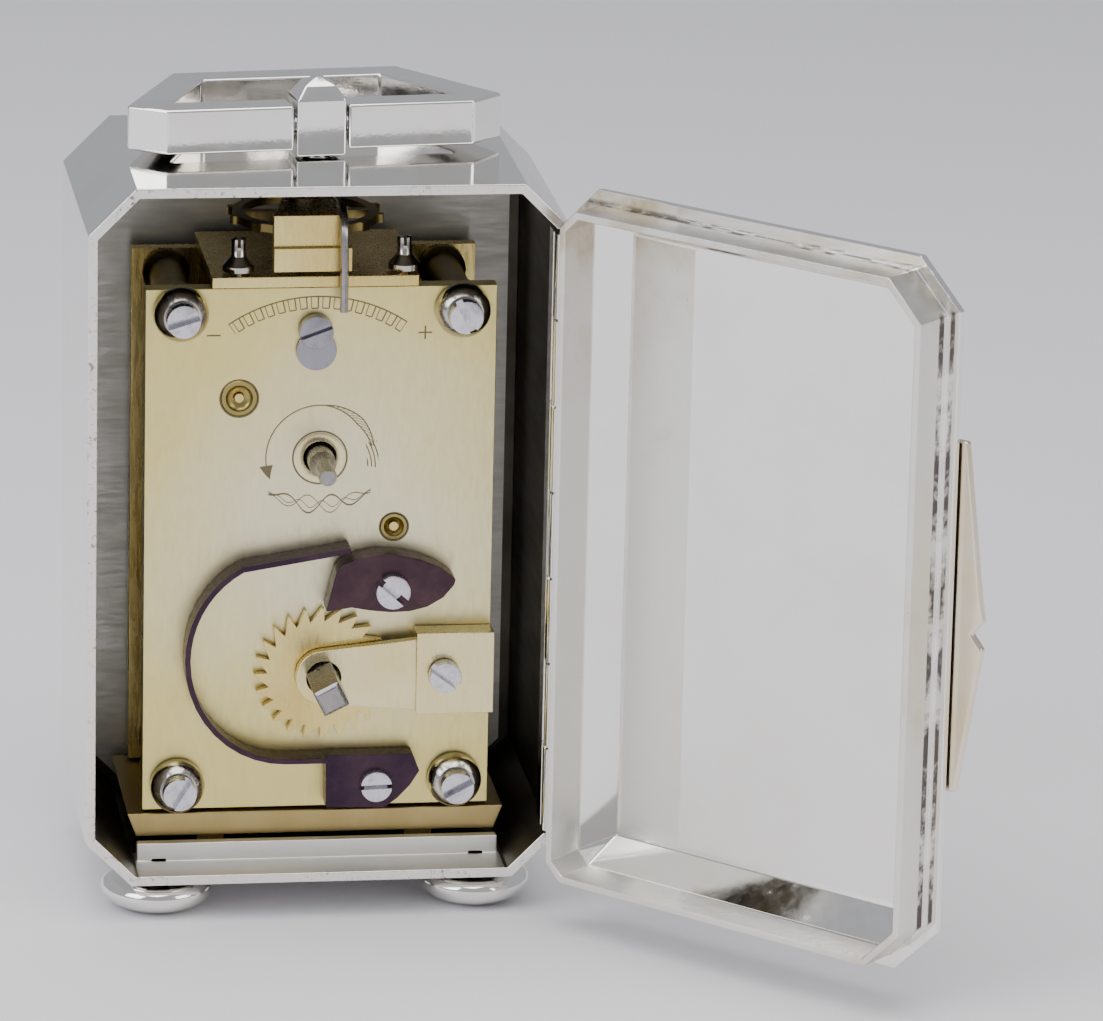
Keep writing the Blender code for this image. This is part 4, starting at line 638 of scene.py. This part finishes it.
# ---- case, feet and handle ----
edgeWidths = {
    "case_body": 0.14 * mm, "handle_bail": 0.12 * mm, "handle_post": 0.22 * mm, "door_shell": 0.12 * mm,
    "door_thumb_piece": 0.25 * mm, "hinge_case_leaf": 0.04 * mm, "hinge_door_leaf": 0.04 * mm,
}
dress("case_body", caseSilver, edgeWidths["case_body"])
dress("door_shell", doorSilver, edgeWidths["door_shell"])
dress("door_thumb_piece", goldEdge, edgeWidths["door_thumb_piece"])
dress("handle_bail", silver, edgeWidths["handle_bail"], 20.0)
dress("handle_post", silver, edgeWidths["handle_post"], 20.0)
for leaf in ("hinge_case_leaf", "hinge_door_leaf"):
    dress(leaf, silver)
for rod in ("hinge_pin", "handle_pin"):
    dress(rod, headSteel)
dress("post_nut", giltBrass, 0.12 * mm)

footLook = {
    "radius": 6.2 * mm, "height": 4.0 * mm, "sides": 96,
    "profile": [(0.36, 0.0), (0.44, 0.01), (0.56, 0.035), (0.68, 0.08), (0.79, 0.16), (0.88, 0.26),
                (0.95, 0.38), (0.99, 0.5), (1.0, 0.58), (0.985, 0.68), (0.94, 0.77), (0.86, 0.85),
                (0.74, 0.91), (0.6, 0.945), (0.5, 0.96), (0.49, 1.0)],
}
for foot in [node for node in frame["nodes"] if node.startswith("foot_")]:
    low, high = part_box(foot)
    middle = (low + high) / 2
    rings = [(share * footLook["radius"], rise * footLook["height"]) for share, rise in footLook["profile"]]
    rings += [(1.2 * mm, footLook["height"]), (1.2 * mm, high.z - low.z)]
    made = turnedPiece(foot + "_turned", rings, (middle.x, middle.y, low.z), sides=footLook["sides"])
    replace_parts(give(made, silver, "case"), foot)
print("case, door, handle and feet done")

# ---- movement ----
backPlate = dress("back_plate", giltPlate)
cupDepth = 0.7 * mm
cutWith(backPlate, [roundTool(jointAt["third_turn"], 2.0 * mm, plateHigh.y - cupDepth, plateHigh.y + mm),
                    roundTool(jointAt["middle_turn"], 1.5 * mm, plateHigh.y - cupDepth, plateHigh.y + mm)])
softenEdges(backPlate, 0.07 * mm)
roundShade(backPlate)
dress("front_plate", giltBrass, 0.09 * mm)
dress("movement_seat", seatBrass, 0.12 * mm)
dress("arbor_bridge", paleBrass, 0.07 * mm)
dress("ratchet_wheel", giltBrass, 0.03 * mm)
dress("platform_plate", giltBrass, 0.08 * mm)
dress("balance_cock", giltBrass, 0.1 * mm)
dress("click", bluedBrown, 0.14 * mm)
dress("click_spring", bluedPurple, 0.05 * mm)
for wheel in ("barrel", "middle_wheel", "centre_wheel", "third_wheel", "contrate_wheel", "hour_wheel",
              "minute_wheel"):
    dress(wheel, giltBrass)
dress("balance_wheel", shadeBrass)
dress("barrel_arbor", arborSteel, 0.12 * mm)
for steel in ("hands_arbor", "escape_wheel", "pallet_lever", "regulator_index"):
    dress(steel, arborSteel)
for screw in ("platform_screw_left", "platform_screw_right"):
    dress(screw, nickel)
dress("contrate_plug", plugSteel, 0.06 * mm)
slottedScrew("lock_screw", 20.0, plugSteel, slotShare=0.11)
slottedScrew("click_screw", -41.0, headSteel)
slottedScrew("click_spring_screw", 2.0, headSteel, slotShare=0.14)
slottedScrew("bridge_screw", -37.0, headSteel)
slotTurns = {"top_left": 17.0, "top_right": -64.0, "bottom_left": 58.0, "bottom_right": 28.0}
for corner, slotTurn in slotTurns.items():
    dress("pillar_" + corner, shadeBrass)
    slottedScrew("pillar_screw_" + corner, slotTurn, headSteel)

colletLook = {
    "sides": 72, "bore": 1.35 * mm,
    "profile": [(1.0, 0.0), (1.0, 0.30), (0.985, 0.42), (0.95, 0.56), (0.89, 0.70), (0.81, 0.83),
                (0.73, 0.94), (0.68, 1.0)],
}
for collet in [node for node in frame["nodes"] if node.startswith("collet_")]:
    low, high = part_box(collet)
    middle = (low + high) / 2
    wide = (high.x - low.x) / 2
    tall = high.y - low.y
    bore = colletLook["bore"]
    rings = [(bore, 0.0)] + [(share * wide, rise * tall) for share, rise in colletLook["profile"]]
    rings += [(bore, tall), (bore, 0.0)]
    made = turnedPiece(collet + "_turned", rings, (middle.x, low.y, middle.z), "back", colletLook["sides"])
    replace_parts(give(made, nickel, "case"), collet)

bushes = {
    "third_bush": (jointAt["third_turn"], 2.0 * mm, 0.62 * mm),
    "middle_bush": (jointAt["middle_turn"], 1.5 * mm, 0.62 * mm),
}
for name, (spot, outer, bore) in bushes.items():
    rings = [(bore, -cupDepth), (bore, -0.5 * mm), (0.5 * outer, -0.42 * mm), (0.68 * outer, -0.22 * mm),
             (0.74 * outer, 0.02 * mm), (0.95 * outer, 0.02 * mm), (outer - 0.02 * mm, -0.05 * mm),
             (outer - 0.02 * mm, -cupDepth), (bore, -cupDepth)]
    made = turnedPiece(name, rings, (spot.x, plateHigh.y, spot.z), "back", 56)
    give(made, cupBrass, "case")
    pivotRings = [(0.40 * mm, -0.69 * mm), (0.40 * mm, -0.3 * mm), (0.33 * mm, -0.22 * mm)]
    tip = turnedPiece(name + "_pivot", pivotRings, (spot.x, plateHigh.y, spot.z), "back", 32)
    give(tip, headSteel, "case")
handsBushLook = {
    "bore": 1.86 * mm, "outer": 2.82 * mm, "proud": 0.08 * mm, "edge": 0.03 * mm, "sunk": 0.1 * mm,
}
bore, outer, sunk = handsBushLook["bore"], handsBushLook["outer"], -handsBushLook["sunk"]
rings = [(bore, sunk), (bore, handsBushLook["edge"]), (1.95 * mm, handsBushLook["proud"]),
         (2.7 * mm, handsBushLook["proud"]), (outer, handsBushLook["edge"]), (outer, sunk), (bore, sunk)]
handsRing = turnedPiece("hands_bush", rings, (handsAt.x, plateHigh.y, handsAt.z), "back", 72)
give(handsRing, paleBrass, "case")
print("movement done")

# ---- dial, hands and glass ----
dress("dial", dialSilver)
dress("glass_frame", giltBrass, 0.1 * mm)
dress("front_glass", glass)
dress("hour_hand", handBlue)
dress("minute_hand", handBlue)

numeralLook = {"radius": 11.9 * mm, "size": 4.6 * mm, "thick": 0.02 * mm}
ink = Finish("numeralInk")
black = ink.blend(ink.noise(2000.0), (0.012, 0.012, 0.015), (0.03, 0.03, 0.035))
ink.use({"Base Color": black, "Roughness": 0.4})
for hour in range(1, 13):
    angle = math.tau * hour / 12
    clearSelection()
    across = handsAt.x + numeralLook["radius"] * math.sin(angle)
    high = handsAt.z + numeralLook["radius"] * math.cos(angle)
    bpy.ops.object.text_add(location=(across, dialLow.y - 0.03 * mm, high), rotation=(quarter, 0, 0))
    text = bpy.context.object
    text.data.body = str(hour)
    text.data.size = numeralLook["size"]
    text.data.align_x = "CENTER"
    text.data.align_y = "CENTER"
    text.data.extrude = numeralLook["thick"]
    bpy.ops.object.convert(target="MESH")
    text.name = "numeral_" + str(hour)
    bakePlace(text)
    give(text, ink, "case")
print("dial done")

# ---- floor, light and camera ----
floorLook = {"size": 8.0, "near": (0.80, 0.79, 0.82), "far": (0.62, 0.62, 0.65)}
clearSelection()
bpy.ops.mesh.primitive_plane_add(size=floorLook["size"], location=(0, 0, cadBox[0][2]))
floor = bpy.context.object
floor.name = "floor"
paper = Finish("floorPaper")
# painted light falloff: the floor is painted lighter near the camera and darker further back
fade = paper.between(paper.y * -1.0, -0.15, 0.45)
weave = paper.noise(900.0, 3.0)
tone = paper.blend(fade, floorLook["near"], floorLook["far"])
tone = paper.blend(paper.between(weave, 0.3, 0.7, 0.0, 0.06), tone, (0.6, 0.6, 0.62))
paper.use({"Base Color": tone, "Roughness": 0.75})
floor.data.materials.append(paper.material)

worldLook = {"colour": (0.80, 0.82, 0.88, 1.0), "strength": 0.55}
world = bpy.data.worlds.new("studio")
bpy.context.scene.world = world
world.use_nodes = True
world.node_tree.nodes["Background"].inputs["Color"].default_value = worldLook["colour"]
world.node_tree.nodes["Background"].inputs["Strength"].default_value = worldLook["strength"]

lights = {
    "overhead": {"place": (0.1, 0.1, 0.9), "size": 0.9, "power": 9.0, "colour": (1.0, 0.98, 0.96)},
    "windowSide": {"place": (0.75, 0.45, 0.55), "size": 0.6, "power": 5.0, "colour": (0.95, 0.97, 1.0)},
    "fillSide": {"place": (-0.7, 0.6, 0.45), "size": 0.5, "power": 2.5, "colour": (1.0, 0.97, 0.93)},
}
for name, look in lights.items():
    clearSelection()
    bpy.ops.object.light_add(type="AREA", location=look["place"])
    lamp = bpy.context.object
    lamp.name = name
    lamp.data.size = look["size"]
    lamp.data.energy = look["power"]
    lamp.data.color = look["colour"]
    aim = Vector((0, 0, 0.04)) - Vector(look["place"])
    lamp.rotation_euler = aim.to_track_quat("-Z", "Y").to_euler()

cameraLook = {"place": (0.11004, 0.76755, 0.27670), "turn": (73.496, -1.272, 171.888), "lens": 244.79}
clearSelection()
turn = [math.radians(degrees) for degrees in cameraLook["turn"]]
bpy.ops.object.camera_add(location=cameraLook["place"], rotation=turn)
camera = bpy.context.object
camera.data.lens = cameraLook["lens"]
camera.data.sensor_width = 36.0
camera.data.clip_start = 0.01
bpy.context.scene.camera = camera
print("floor, light and camera done")
